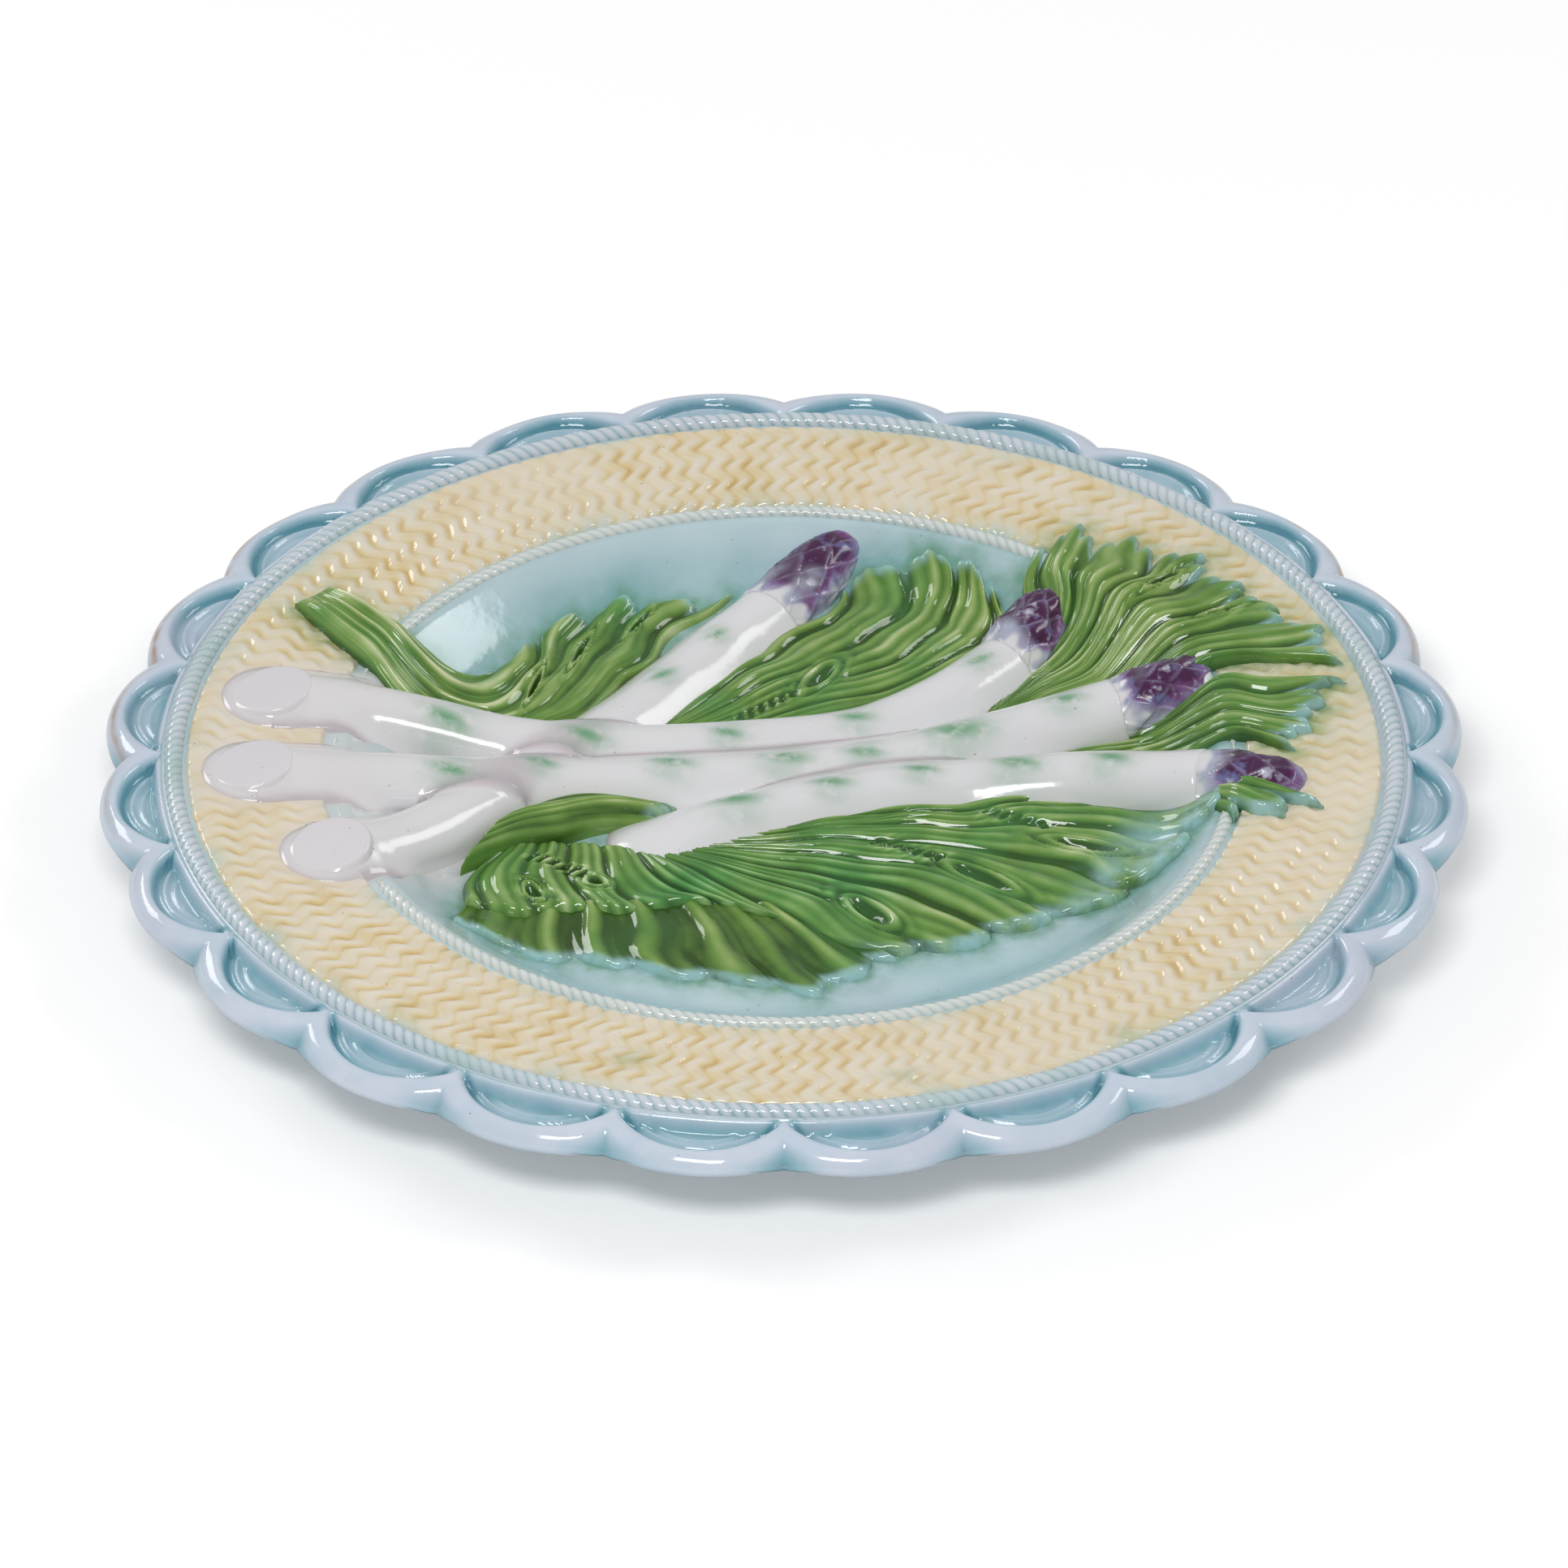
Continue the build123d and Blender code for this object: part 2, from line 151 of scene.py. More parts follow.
# Each leaf is a fan of strands, and each strand a smooth line drawn along some points from base to tip.
leaf_strands = {
    "large_leaf": [
        [(-52, -12), (-58, -17), (-60, -26)],
        [(-47, -10), (-52, -19), (-52, -30)],
        [(-42, -10), (-45, -20), (-43, -31)],
        [(-37, -11), (-37, -22), (-33, -32)],
        [(-31, -13), (-29, -24), (-22, -33)],
        [(-26, -16), (-20, -26), (-10, -35)],
        [(-24, -15), (-10, -27), (1, -37), (10, -49)],
        [(-23, -14.5), (-3, -26.5), (13, -37), (27, -49)],
        [(-22, -14), (4, -22.5), (22, -32), (37.5, -44)],
        [(-21, -13.5), (10, -18.5), (34, -27.5), (52, -41)],
        [(-20, -13), (16, -14), (44, -20.5), (65, -33)],
        [(-19, -12.5), (20, -10.5), (54, -13.5), (74, -23.5)],
        [(-18, -12), (22, -7), (60, -8), (80, -19)],
    ],
    "large_leaf_fringe": [
        [(-55, -20), (-61, -27), (-62, -33)],
        [(-52, -24), (-55, -33), (-55, -39)],
        [(-45, -27), (-47, -36), (-46, -43.5)],
        [(-37, -28), (-38.5, -38), (-36, -47)],
        [(-29, -29), (-29, -40), (-25, -51)],
        [(-21, -30), (-19, -42), (-13, -55.5)],
        [(-14, -31), (-10, -45), (-2, -60)],
        [(-8, -32), (-1, -45), (6.5, -55)],
        [(-2, -33), (6, -42), (14, -51)],
    ],
    "stem_leaf": [
        [(-80.5, 56), (-72, 40), (-62, 29), (-47, 23), (-34, 27), (-22, 41), (-8, 58), (1, 64.5)],
        [(-79, 57), (-70.5, 42), (-61, 32), (-47, 26), (-36, 31), (-25, 45), (-10, 65)],
        [(-77.5, 58), (-69, 44), (-60, 34.5), (-48, 29), (-39, 34), (-30, 48), (-21, 65)],
        [(-76, 59), (-68, 46), (-59, 37.5), (-49, 32.5), (-42, 37), (-36, 48), (-31, 60)],
        [(-74.5, 60), (-66.5, 48), (-58, 41), (-50, 37), (-44.5, 39.5), (-41, 46), (-40, 53)],
        [(-73, 60.5), (-65, 50), (-57, 44), (-50, 41.5), (-46.5, 43.5)],
    ],
    "middle_leaf": [
        [(-23, 20), (-8, 37), (8, 52), (17, 58), (19, 62)],
        [(-22, 20), (-3, 34), (14, 47), (25, 56), (24, 65.5)],
        [(-21, 20), (1, 31), (23, 42), (36, 53), (34, 66)],
        [(-20, 19.5), (5, 27.5), (28, 37), (43, 49), (41.5, 61.5)],
        [(-18, 19), (9, 23), (32, 31), (47, 43), (46.5, 55)],
        [(-16, 18), (9, 19), (30, 26), (43, 35), (45, 46)],
    ],
    "fan_leaf": [
        [(38, 20), (45, 31), (49, 45), (53, 59)],
        [(38, 20), (47, 31), (55, 46), (62, 64)],
        [(38, 19.5), (49, 30), (61, 44), (72, 57.5)],
        [(38.5, 19), (51, 28), (67, 40), (81.5, 49.5)],
        [(39, 18), (54, 26), (71, 35), (89, 40.5)],
        [(40, 17), (57, 23), (76, 29), (94, 32)],
        [(42, 16), (61, 20), (81, 23), (99, 23.5)],
        [(44, 15), (63, 17), (84, 17), (102, 14.5)],
    ],
    "fan_leaf_lower": [
        [(46, 7), (64, 11), (82, 11), (101.5, 7)],
        [(46, 5.5), (62, 7.5), (80, 6), (96, 0.5)],
        [(46.5, 4.5), (62, 4.5), (78, 1), (92, -6)],
        [(47, 3), (62, 1), (76, -4), (89, -12)],
    ],
    "small_leaf": [
        [(68, -13), (80, -20), (90, -29)],
        [(68, -15), (77, -22), (83, -31)],
        [(67, -17), (72, -23), (75, -29.5)],
    ],
    "hook_leaf": [
        [(-48, -4), (-40, 1), (-29, 1), (-18.5, -1.5)],
        [(-54, -10), (-44, -4.5), (-33, -2.5), (-20, -2.5)],
        [(-59, -17), (-49, -11), (-37, -7.5), (-23, -5)],
    ],
}
# For each leaf: height, ribs from one strand to the next, share of the strands that the notches leave whole,
# bluntness of the lobes between them, how frayed their edges are and how far the strands sway.
leaf_forms = {
    "large_leaf": (3.2, 3, 0.96, 2.2, 0.008, 0.7),
    "large_leaf_fringe": (2.2, 2, 0.88, 2.6, 0.015, 0.6),
    "stem_leaf": (2.4, 2, 0.95, 2.4, 0.008, 0.9),
    "middle_leaf": (2.4, 3, 0.97, 2.2, 0.006, 0.9),
    "fan_leaf": (2.4, 3, 0.92, 1.6, 0.045, 1.3),
    "fan_leaf_lower": (2.4, 3, 0.92, 1.6, 0.045, 1.2),
    "small_leaf": (2.4, 3, 0.75, 2.0, 0.04, 0.5),
    "hook_leaf": (6.4, 4, 0.95, 2.0, 0.0, 0.4),
}
fold_end = 5.5  # strands of the large leaf up to this one end in the fold, without lobes
# Eye-shaped hollows: (x, y, length, width, turn in degrees).
leaf_eyes = {
    "large_leaf": [
        (50, -24, 11, 2.4, -24),
        (30.5, -31, 11, 3, -42),
        (10, -38.5, 8.5, 3.2, -52),
        (-47, -25, 4.5, 2, -70),
        (-36, -23.5, 3, 2, -30),
    ],
    "middle_leaf": [(11, 35, 8, 3, 52)],
    "stem_leaf": [(-39.5, 39, 8, 1, 68), (-30, 49.5, 9, 1, 64), (-18.5, 57, 8, 1, 54)],
    "fan_leaf": [(74, 43, 7, 1.2, 34), (83, 31.5, 7, 1.2, 16)],
}
# Ladders of short dents: (first x, first y, last x, last y, number of dents).
leaf_ladders = {
    "large_leaf": [(34, -11.5, 44, -17.5, 7), (14, -18, 24, -24.5, 7), (-46, -14.5, -38, -21, 6)],
    "middle_leaf": [(-4.5, 24.5, 5.5, 30.5, 6)],
}


def smooth_step(value, low, high):
    """0 up to low and 1 from high on, with a smooth rise between."""
    share = np.clip((value - low) / (high - low), 0.0, 1.0)
    return share * share * (3.0 - 2.0 * share)


def bell(value, width):
    """1 at nought, falling away smoothly on both sides."""
    return np.exp(-((value / width) ** 2))


def circle(count):
    """Angles of points spaced evenly round a circle."""
    return np.arange(count) * 2 * pi / count


def polar(radius, angle):
    """Places in plan of points at a radius and an angle."""
    return radius * np.cos(angle), radius * np.sin(angle)


def ripple(x, y, size, seed):
    """Smooth unevenness between about -1 and 1, with bumps about as wide as size."""
    dice = np.random.default_rng(seed)
    total = np.zeros(np.broadcast(x, y).shape)
    for _ in range(7):
        angle, phase, stretch = dice.uniform(0, 2 * pi), dice.uniform(0, 2 * pi), dice.uniform(0.6, 1.6)
        total += np.sin((x * cos(angle) + y * sin(angle)) * 2 * pi / (2 * size * stretch) + phase)
    return total / 3.0


def rounded_line(points, radii, steps=10):
    """Polyline with its inner corners rounded, as an array of points."""
    spots = [np.array(point, float) for point in points]
    line = [spots[0]]
    for before, here, after, radius in zip(spots, spots[1:], spots[2:], radii):
        back = (before - here) / np.linalg.norm(before - here)
        ahead = (after - here) / np.linalg.norm(after - here)
        half = np.arccos(np.clip(back @ ahead, -1, 1)) / 2
        middle = here + (back + ahead) / np.linalg.norm(back + ahead) * radius / np.sin(half)
        start = here + back * radius / np.tan(half) - middle
        end = here + ahead * radius / np.tan(half) - middle
        turn = np.arccos(np.clip(start @ end / radius**2, -1, 1))
        for share in np.linspace(0, 1, steps):
            arc = (np.sin((1 - share) * turn) * start + np.sin(share * turn) * end) / np.sin(turn)
            line.append(middle + arc)
    line.append(spots[-1])
    return np.array(line)


def refined(line, step):
    """The same line with points no further apart than step."""
    points = [line[0]]
    for start, end in zip(line, line[1:]):
        count = max(1, int(np.ceil(np.linalg.norm(end - start) / step)))
        points += [start + (end - start) * share for share in np.linspace(0, 1, count + 1)[1:]]
    return np.array(points)


def step_lengths(line):
    """Distances from each point of a line to the next."""
    return np.linalg.norm(np.diff(line, axis=0), axis=1)


def smooth_line(points, share):
    """Points at shares of the length of a smooth line drawn along some points."""
    line = np.array(points, float)
    for _ in range(4):
        near, far = line[:-1], line[1:]
        cut = np.stack([near * 0.75 + far * 0.25, near * 0.25 + far * 0.75], 1).reshape(-1, line.shape[1])
        line = np.concatenate([line[:1], cut, line[-1:]])
    run = np.concatenate([[0], np.cumsum(step_lengths(line))])
    return np.stack([np.interp(share * run[-1], run, line[:, k]) for k in range(line.shape[1])], -1)


def along_way(x, y, spot, way):
    """How far points lie ahead of a spot along a direction in plan, and to the left of it."""
    east, north = x - spot[0], y - spot[1]
    return east * way[0] + north * way[1], north * way[0] - east * way[1]


def nearest(x, y, spots):
    """Distance in plan from each point to the nearest of some spots."""
    flat = np.stack([np.ravel(x), np.ravel(y)], -1).astype(np.float32)
    spots = np.asarray(spots, np.float32)
    result = np.empty(len(flat), np.float32)
    batch = 4000
    for start in range(0, len(flat), batch):
        gap = flat[start : start + batch, None, :] - spots[None, :, :]
        result[start : start + batch] = np.sqrt((gap * gap).sum(-1).min(1))
    return result.reshape(np.shape(x))


top_line = rounded_line(
    [
        (0.0, floor_top),
        (well_radius, floor_top),
        (shoulder_radius, shoulder_top),
        (edge_seat_radius, seat_top),
    ],
    [cavetto_fillet, shoulder_fillet],
)


def ground(x, y):
    """Height of the plate's top surface under a point."""
    return np.interp(np.hypot(x, y), top_line[:, 0], top_line[:, 1])


def rim_height(radius):
    """Height of the flat rim at a radius."""
    return shoulder_top + rim_rise * (radius - shoulder_radius) / (edge_seat_radius - shoulder_radius)


def leaf_level(x, y):
    """Height of the smooth surface that the leaves follow, over the shoulder of the well and the borders."""
    radius = np.arange(0.0, plate_radius, 0.2)
    on_rim = smooth_step(radius, shoulder_radius - 0.5, shoulder_radius + 1.0)
    line = ground(radius, 0.0) + border_lift * on_rim
    window = np.hanning(55)
    padded = np.pad(line, len(window) // 2, mode="edge")
    soft = np.convolve(padded, window / window.sum(), "valid")
    return np.interp(np.hypot(x, y), radius, soft)


def grid_faces(rows, columns, close_rows):
    """Quads of a grid whose columns close on themselves."""
    last = rows if close_rows else rows - 1
    row, column = np.meshgrid(np.arange(last), np.arange(columns), indexing="ij")
    next_row, next_column = (row + 1) % rows, (column + 1) % columns
    corners = [(row, column), (row, next_column), (next_row, next_column), (next_row, column)]
    return np.stack([a * columns + b for a, b in corners], -1).reshape(-1, 4)


def shell(x, y, z, faces, values):
    """A closed surface: points, faces and numbers kept with each point."""
    loops = np.stack(np.broadcast_arrays(x, y, z), -1)
    flat = {name: np.broadcast_to(value, loops.shape[:2]).ravel() for name, value in values.items()}
    return loops.reshape(-1, 3), faces, flat


def ring(x, y, z, **values):
    """Surface through loops that follow each other all the way round."""
    return shell(x, y, z, grid_faces(*x.shape, True), values)


def loft(x, y, z, **values):
    """Surface through loops, closed at both ends by strips across the loop."""
    rows, columns = x.shape
    near = np.arange(columns // 2 - 1)
    across = np.stack([near, columns - 1 - near, columns - 2 - near, near + 1], -1)
    faces = [grid_faces(rows, columns, False), across, across[:, ::-1] + (rows - 1) * columns]
    return shell(x, y, z, np.concatenate(faces), values)


def slab(top, bottom, **values):
    """Sheet between two heights over rows of points. Their x and y and the other values are given once."""
    both = {name: np.concatenate([value, value[:, ::-1]], 1) for name, value in values.items()}
    return loft(z=np.concatenate([top, bottom[:, ::-1]], 1), **both)


def add_object(name, data):
    """New object in the scene."""
    thing = bpy.data.objects.new(name, data)
    bpy.context.scene.collection.objects.link(thing)
    return thing


def add_piece(name, shells, material):
    """Piece of the plate made of shells, standing for the solid of the same name."""
    points, faces, values = [], [], {}
    count = 0
    for shell_points, shell_faces, shell_values in shells:
        a, b, c, d = (shell_points[corner] for corner in shell_faces.T)
        inside_out = np.einsum("ij,ij->i", a, np.cross(b, c) + np.cross(c, d)).sum() < 0
        faces.append(count + (shell_faces[:, ::-1] if inside_out else shell_faces))
        points.append(shell_points)
        count += len(shell_points)
        for key, value in shell_values.items():
            values.setdefault(key, []).append(value)
    mesh = bpy.data.meshes.new(name + "_look")
    mesh.from_pydata((np.concatenate(points) * millimetre).tolist(), [], np.concatenate(faces).tolist())
    mesh.shade_smooth()
    for key, parts in values.items():
        attribute = mesh.attributes.new(key, "FLOAT", "POINT")
        attribute.data.foreach_set("value", np.concatenate(parts).astype(np.float32))
    mesh.update()
    mesh.materials.append(material)
    piece = add_object(name + "_look", mesh)
    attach(piece, "root")
    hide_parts(name)


def spear_path(number):
    """Points along the middle line of a spear's stalk, evenly spaced, and the far end of its bud."""
    spots = [(x, y, floor_top + climb * well_depth - stalk_sink) for x, y, climb in spear_points[number]]
    length = step_lengths(smooth_line(spots[:-1], np.linspace(0, 1, 50))).sum()
    return smooth_line(spots[:-1], np.linspace(0, 1, int(length / path_step))), np.array(spots[-1])


spear_paths = {number: spear_path(number) for number in spear_points}


def path_frame(path):
    """Directions ahead, sideways and up at each point of a path."""
    ahead = np.gradient(path, axis=0)
    ahead /= np.linalg.norm(ahead, axis=1)[:, None]
    up = np.array([0.0, 0.0, 1.0]) - ahead * ahead[:, 2:]
    up /= np.linalg.norm(up, axis=1)[:, None]
    return ahead, np.cross(ahead, up), up


def stalk_squash(number, run):
    """Height of a stalk's round as a share of its width, which falls towards its lower end."""
    low, reach = (0.4, 26.0) if number == short_spear else (0.8, 34.0)
    return low + (stalk_flatness - low) * smooth_step(run, 0.0, reach)


def seat_level(x, y):
    """Height of what the stalks lie on: the plate, and on the rim the wicker band."""
    return ground(x, y) + band_height * smooth_step(np.hypot(x, y), shoulder_radius, band_inner)


def stalk_gap(x, y):
    """Distance in plan from each point to the side of the nearest stalk, and below nought on a stalk."""
    spots = np.concatenate([path[::3, :2] for path, _ in spear_paths.values()])
    return nearest(x, y, spots) - stalk_radius


def stalk_web(x, gap):
    """Where the glaze of the stalks runs together over the plate, at their cut ends: 1 beside a stalk."""
    return bell(np.clip(gap, 0, None), web_reach) * (1 - smooth_step(x, *web_fade))


def spear_height(number, x, y):
    """Height of a stalk's upper surface over points in plan, or far below where the stalk isn't."""
    path = spear_paths[number][0][::2]
    gap = np.hypot(x[..., None] - path[:, 0], y[..., None] - path[:, 1])
    index = gap.argmin(-1)
    away = np.take_along_axis(gap, index[..., None], -1)[..., 0]
    step = np.linalg.norm(path[1] - path[0])
    over = np.sqrt(np.clip(stalk_radius**2 - away**2, 0, None)) * stalk_squash(number, index * step)
    return np.where(away < stalk_radius, path[index, 2] + over, -50.0)


def make_body():
    """Turned blank with its foot ring, and with glaze that fills the well beside the cut ends."""
    foot_inner = foot_outer_radius - foot_width
    underside = rounded_line(
        [
            (edge_seat_radius, seat_top - rim_thickness),
            (shoulder_radius + well_slope * rim_thickness / well_depth, shoulder_top - rim_thickness),
            (foot_outer_radius, foot_height),
        ],
        [under_fillet],
    )
    foot = np.array(
        [
            (foot_outer_radius, foot_height),
            (foot_outer_radius - foot_draft + 0.15, 0.5),
            (foot_outer_radius - foot_draft - 0.35, 0.0),
            (foot_inner + foot_draft + 0.35, 0.0),
            (foot_inner + foot_draft - 0.15, 0.5),
            (foot_inner, foot_height),
            (0.5, foot_height),
        ]
    )
    top = refined(top_line, 1.0)[1:]
    profile = np.concatenate([top, refined(underside, 2.0), refined(foot, 2.0)[1:]])
    columns, top_rows = 430, len(top)
    angle = circle(columns)
    radius, height = profile[:, 0][:, None], profile[:, 1][:, None]
    x, y = polar(radius, angle)
    z = np.repeat(height, columns, 1)
    flank = np.sin(np.linspace(0, pi, top_rows))[:, None]
    z[:top_rows] += 0.05 * ripple(x[:top_rows], y[:top_rows], 14.0, 3) * flank
    bare = z < foot_bare
    under = np.arange(len(profile))[:, None] * np.ones(columns) >= top_rows
    far_off = 99.0
    leaf_gap = np.where(under, far_off, nearest(x, y, np.concatenate(list(leaf_edges.values()))))
    spear_gap = np.where(under, far_off, stalk_gap(x, y))
    web = stalk_web(x, spear_gap)
    z = z + web_height * web * (1 - smooth_step(radius, shoulder_radius - 7.0, shoulder_radius - 1.0))
    slope = smooth_step(radius, well_radius - 6.0, well_radius)
    slope = slope * (1 - smooth_step(radius, shoulder_radius - 7.0, shoulder_radius))
    pool = 0.35 * np.exp(-leaf_gap / 2.5) + 0.3 * np.exp(-np.clip(spear_gap, 0, None) / 1.8)
    pool = pool + np.where(under, 0.15, 0.25 * slope)
    stain = np.exp(-((leaf_gap / 3.0) ** 1.2))
    values = {"pool": pool, "stain": stain, "web": web, "bare": bare * 1.0, "back": under * 1.0}
    return [loft(x, y, z, **values)]


def make_rope(radius, size, twists, seed):
    """Cord of three strands laid round the rim."""
    angle, turn = circle(twists * 7)[:, None], circle(16)[None, :]
    phase = (3 * turn + twists * angle) / 2
    lay = np.abs(np.cos(phase)) ** 0.7
    thick = size / 2 * (0.86 + 0.14 * lay) * (1 + 0.04 * ripple(radius * angle, 0 * angle, 9.0, seed))
    gap = stalk_gap(*polar(radius, angle))
    thick = thick * (1 - 0.9 * (1 - smooth_step(gap, 2.5, 9.0)))
    r = radius + thick * np.cos(turn)
    z = rim_height(radius) - 0.1 + thick * np.sin(turn)
    z = np.maximum(z, rim_height(radius) - buried)
    # Darker in the grooves between the strands, where glaze pools, with painted shade round the cord: lighter
    # on top and darker underneath.
    return [ring(*polar(r, angle), z, pool=1.0 - lay - 0.2 * np.sin(turn))]


def make_band():
    """Wicker band: swaying strands that run out across the rim and swell by turns."""
    columns, rows = 1224, 66
    angle = circle(columns)[:, None]
    share = np.linspace(0, 1, rows)[None, :]
    radius = band_inner + (band_outer - band_inner) * share
    x, y = polar(radius, angle)
    across = share * weave_rows + 0.2 * ripple(x, y, 7.0, 5)
    sway = 0.75 * np.sin(pi * across) + 0.34 * ripple(x, y, 6.0, 6)
    phase = angle * weave_turns / 2 + sway
    strand = np.abs(np.cos(phase)) ** 0.75
    checker = np.cos(pi * across) * np.cos(2 * phase)
    weave = np.clip(0.76 * strand + 0.24 * checker + 0.06, 0, 1)
    spear_gap = stalk_gap(x, y)
    filled = 1 - smooth_step(spear_gap, 1.5, 6.5)
    weave = weave * (1 - filled) + 0.5 * filled
    height = weave_bed + weave_height * (weave + 0.08 * (1 - filled) * ripple(x, y, 2.0, 8))
    edge = smooth_step(share, 0.0, 0.03) * (1 - smooth_step(share, 0.97, 1.0))
    top = rim_height(radius) - buried + (buried + height) * edge
    bottom = rim_height(radius) - buried - 0.1 + 0 * x
    rim_leaves = [leaf_edges[name] for name in ("fan_leaf", "fan_leaf_lower", "stem_leaf")]
    smear = np.exp(-((nearest(x, y, np.concatenate(rim_leaves)) / 3.2) ** 1.1))
    for smear_x, smear_y in smears:
        smear = np.maximum(smear, 0.5 * bell(x - smear_x, 4.0) * bell(y - smear_y, 2.5))
    border = np.exp(-share * 11.0) + np.exp(-(1 - share) * 9.0)
    border = border * np.clip(0.55 + 0.6 * ripple(x, y, 11.0, 9), 0.1, 1.0)
    values = {"x": x, "y": y, "pool": 1 - weave, "stain": smear, "blue": border}
    values["web"] = stalk_web(x, spear_gap)
    ends = [rows - 1, 0]
    both = {name: np.concatenate([value, value[:, ends]], 1) for name, value in values.items()}
    return [ring(z=np.concatenate([top, bottom[:, ends]], 1), **both)]


def make_edge():
    """Ring of scallops: each has a rolled lip round a sunk arch panel with fine ridges."""
    pitch = 2 * pi / scallop_count
    cusp_radius = plate_radius - scallop_rise
    half_chord, cusp_x = cusp_radius * sin(pitch / 2), cusp_radius * cos(pitch / 2)
    rise = plate_radius - cusp_x
    outer_arc = (half_chord**2 + rise**2) / (2 * rise)
    outer_middle = plate_radius - outer_arc
    sill = edge_seat_radius + panel_sill
    side = pitch / 2 - panel_post / 2 / sill
    corner_x, corner_y = sill * cos(side), sill * sin(side)
    crown = plate_radius - panel_lip
    arch = (corner_y**2 + (crown - corner_x) ** 2) / (2 * (crown - corner_x))
    arch_middle = crown - arch

    even = np.linspace(-1, 1, 66, endpoint=False)
    local = pitch / 2 * (even + 0.1 * np.sin(2 * pi * even) / pi)
    angle = np.concatenate([number * pitch + local for number in range(scallop_count)])[:, None]
    local = np.tile(local, scallop_count)[:, None]
    outline = outer_middle * np.cos(local) + np.sqrt(outer_arc**2 - (outer_middle * np.sin(local)) ** 2)

    round_start = 0.78
    over_round = round_start + (1 - round_start) * np.sin(np.linspace(0, pi / 2, 10)[1:])
    out = np.concatenate([np.linspace(0, round_start, 26), over_round])[None, :]
    radius = edge_seat_radius + (outline - edge_seat_radius) * out
    px, py = polar(radius, local)
    lip = np.clip(outer_arc - np.hypot(px - outer_middle, py), 0, None)
    arch_gap = np.hypot(px - arch_middle, py) - arch
    sill_gap = radius - sill
    inside = np.minimum(-arch_gap, sill_gap)
    rounding = np.clip(roll_rounding - arch_gap, 0, roll_rounding)
    wall = np.where(arch_gap > 0, roll_rounding - np.sqrt(roll_rounding**2 - rounding**2), 0)
    sunk = roll_rounding + (panel_depth - roll_rounding) * smooth_step(inside, 0.0, 0.9)
    sill_slope = panel_depth * smooth_step(sill_gap, -0.7, 0.7)
    panel = np.minimum(sunk, sill_slope)
    ridges = ridge_height * bell(arch_gap + 2.1, 0.42)
    ridges += 0.5 * ridge_height * bell(arch_gap + 3.9, 0.4)
    ridges *= smooth_step(sill_gap, 0.2, 1.0)
    dip = cusp_dip * smooth_step(arch_gap, 3.5, 6.2)
    drop = np.where(arch_gap > 0, np.minimum(wall, sill_slope + 0.4), panel - ridges) + dip
    roll = lip_drop * (1 - np.sqrt(1 - np.clip(1 - lip / lip_reach, 0, 1) ** 2))
    wobble = 0.08 * ripple(*polar(radius, angle), 8.0, 12)
    droop = edge_droop * out**1.5
    top_z = seat_top - droop - drop * (1 - 0.2 * out) - roll + wobble * smooth_step(lip, 0.0, 1.0)
    # Painted shade: the panels darken the deeper they sink, with a painted shadow line along the arch under
    # the lip. Teal glaze also gathers by the sill and between the scallops.
    recess_glaze_and_shade = 0.42 * np.clip(drop / panel_depth, 0, 1.2) + 0.6 * bell(arch_gap + 0.4, 0.75)
    recess_glaze_and_shade += 0.3 * bell(sill_gap - 0.4, 0.8) * (arch_gap < 0) + 0.55 * smooth_step(arch_gap, 3.4, 6.0)

    turn_under = edge_thickness - edge_droop - lip_drop
    back = np.array([0.06, 0.2, 0.4, 0.65, 1.0]) * turn_under
    back = np.concatenate([back, [4.0, 7.0, edge_width]])[None, :]
    under_radius = np.maximum(outline - back, edge_seat_radius)
    under_roll = turn_under - np.sqrt(turn_under**2 - np.clip(turn_under - back, 0, turn_under) ** 2)
    under_z = seat_top - edge_thickness + under_roll + 0 * under_radius

    all_radius = np.concatenate([radius, under_radius], 1)
    all_z = np.concatenate([top_z, under_z], 1)
    x, y = polar(all_radius, angle)
    pool = np.full_like(all_z, 0.15)
    pool[:, : recess_glaze_and_shade.shape[1]] = recess_glaze_and_shade
    worn = bell(outline - all_radius - 1.2, 0.55) * smooth_step(y, -30.0, 60.0)
    worn *= all_z > seat_top - edge_droop - lip_drop
    return [ring(x, y, all_z, pool=pool, worn=worn)]


def blend_weights(place, count):
    """How much each strand counts at a place across the fan: a smooth curve through all of them."""
    weights = np.zeros((count, len(place)))
    low = np.clip(np.floor(place).astype(int), 0, count - 2)
    f = np.clip(place - low, 0, 1)
    terms = [
        (-1, -0.5 * f + f**2 - 0.5 * f**3),
        (0, 1 - 2.5 * f**2 + 1.5 * f**3),
        (1, 0.5 * f + 2 * f**2 - 1.5 * f**3),
        (2, -0.5 * f**2 + 0.5 * f**3),
    ]
    for step, term in terms:
        index = np.clip(low + step, 0, count - 1)
        np.add.at(weights, (index, np.arange(len(place))), term)
    return weights


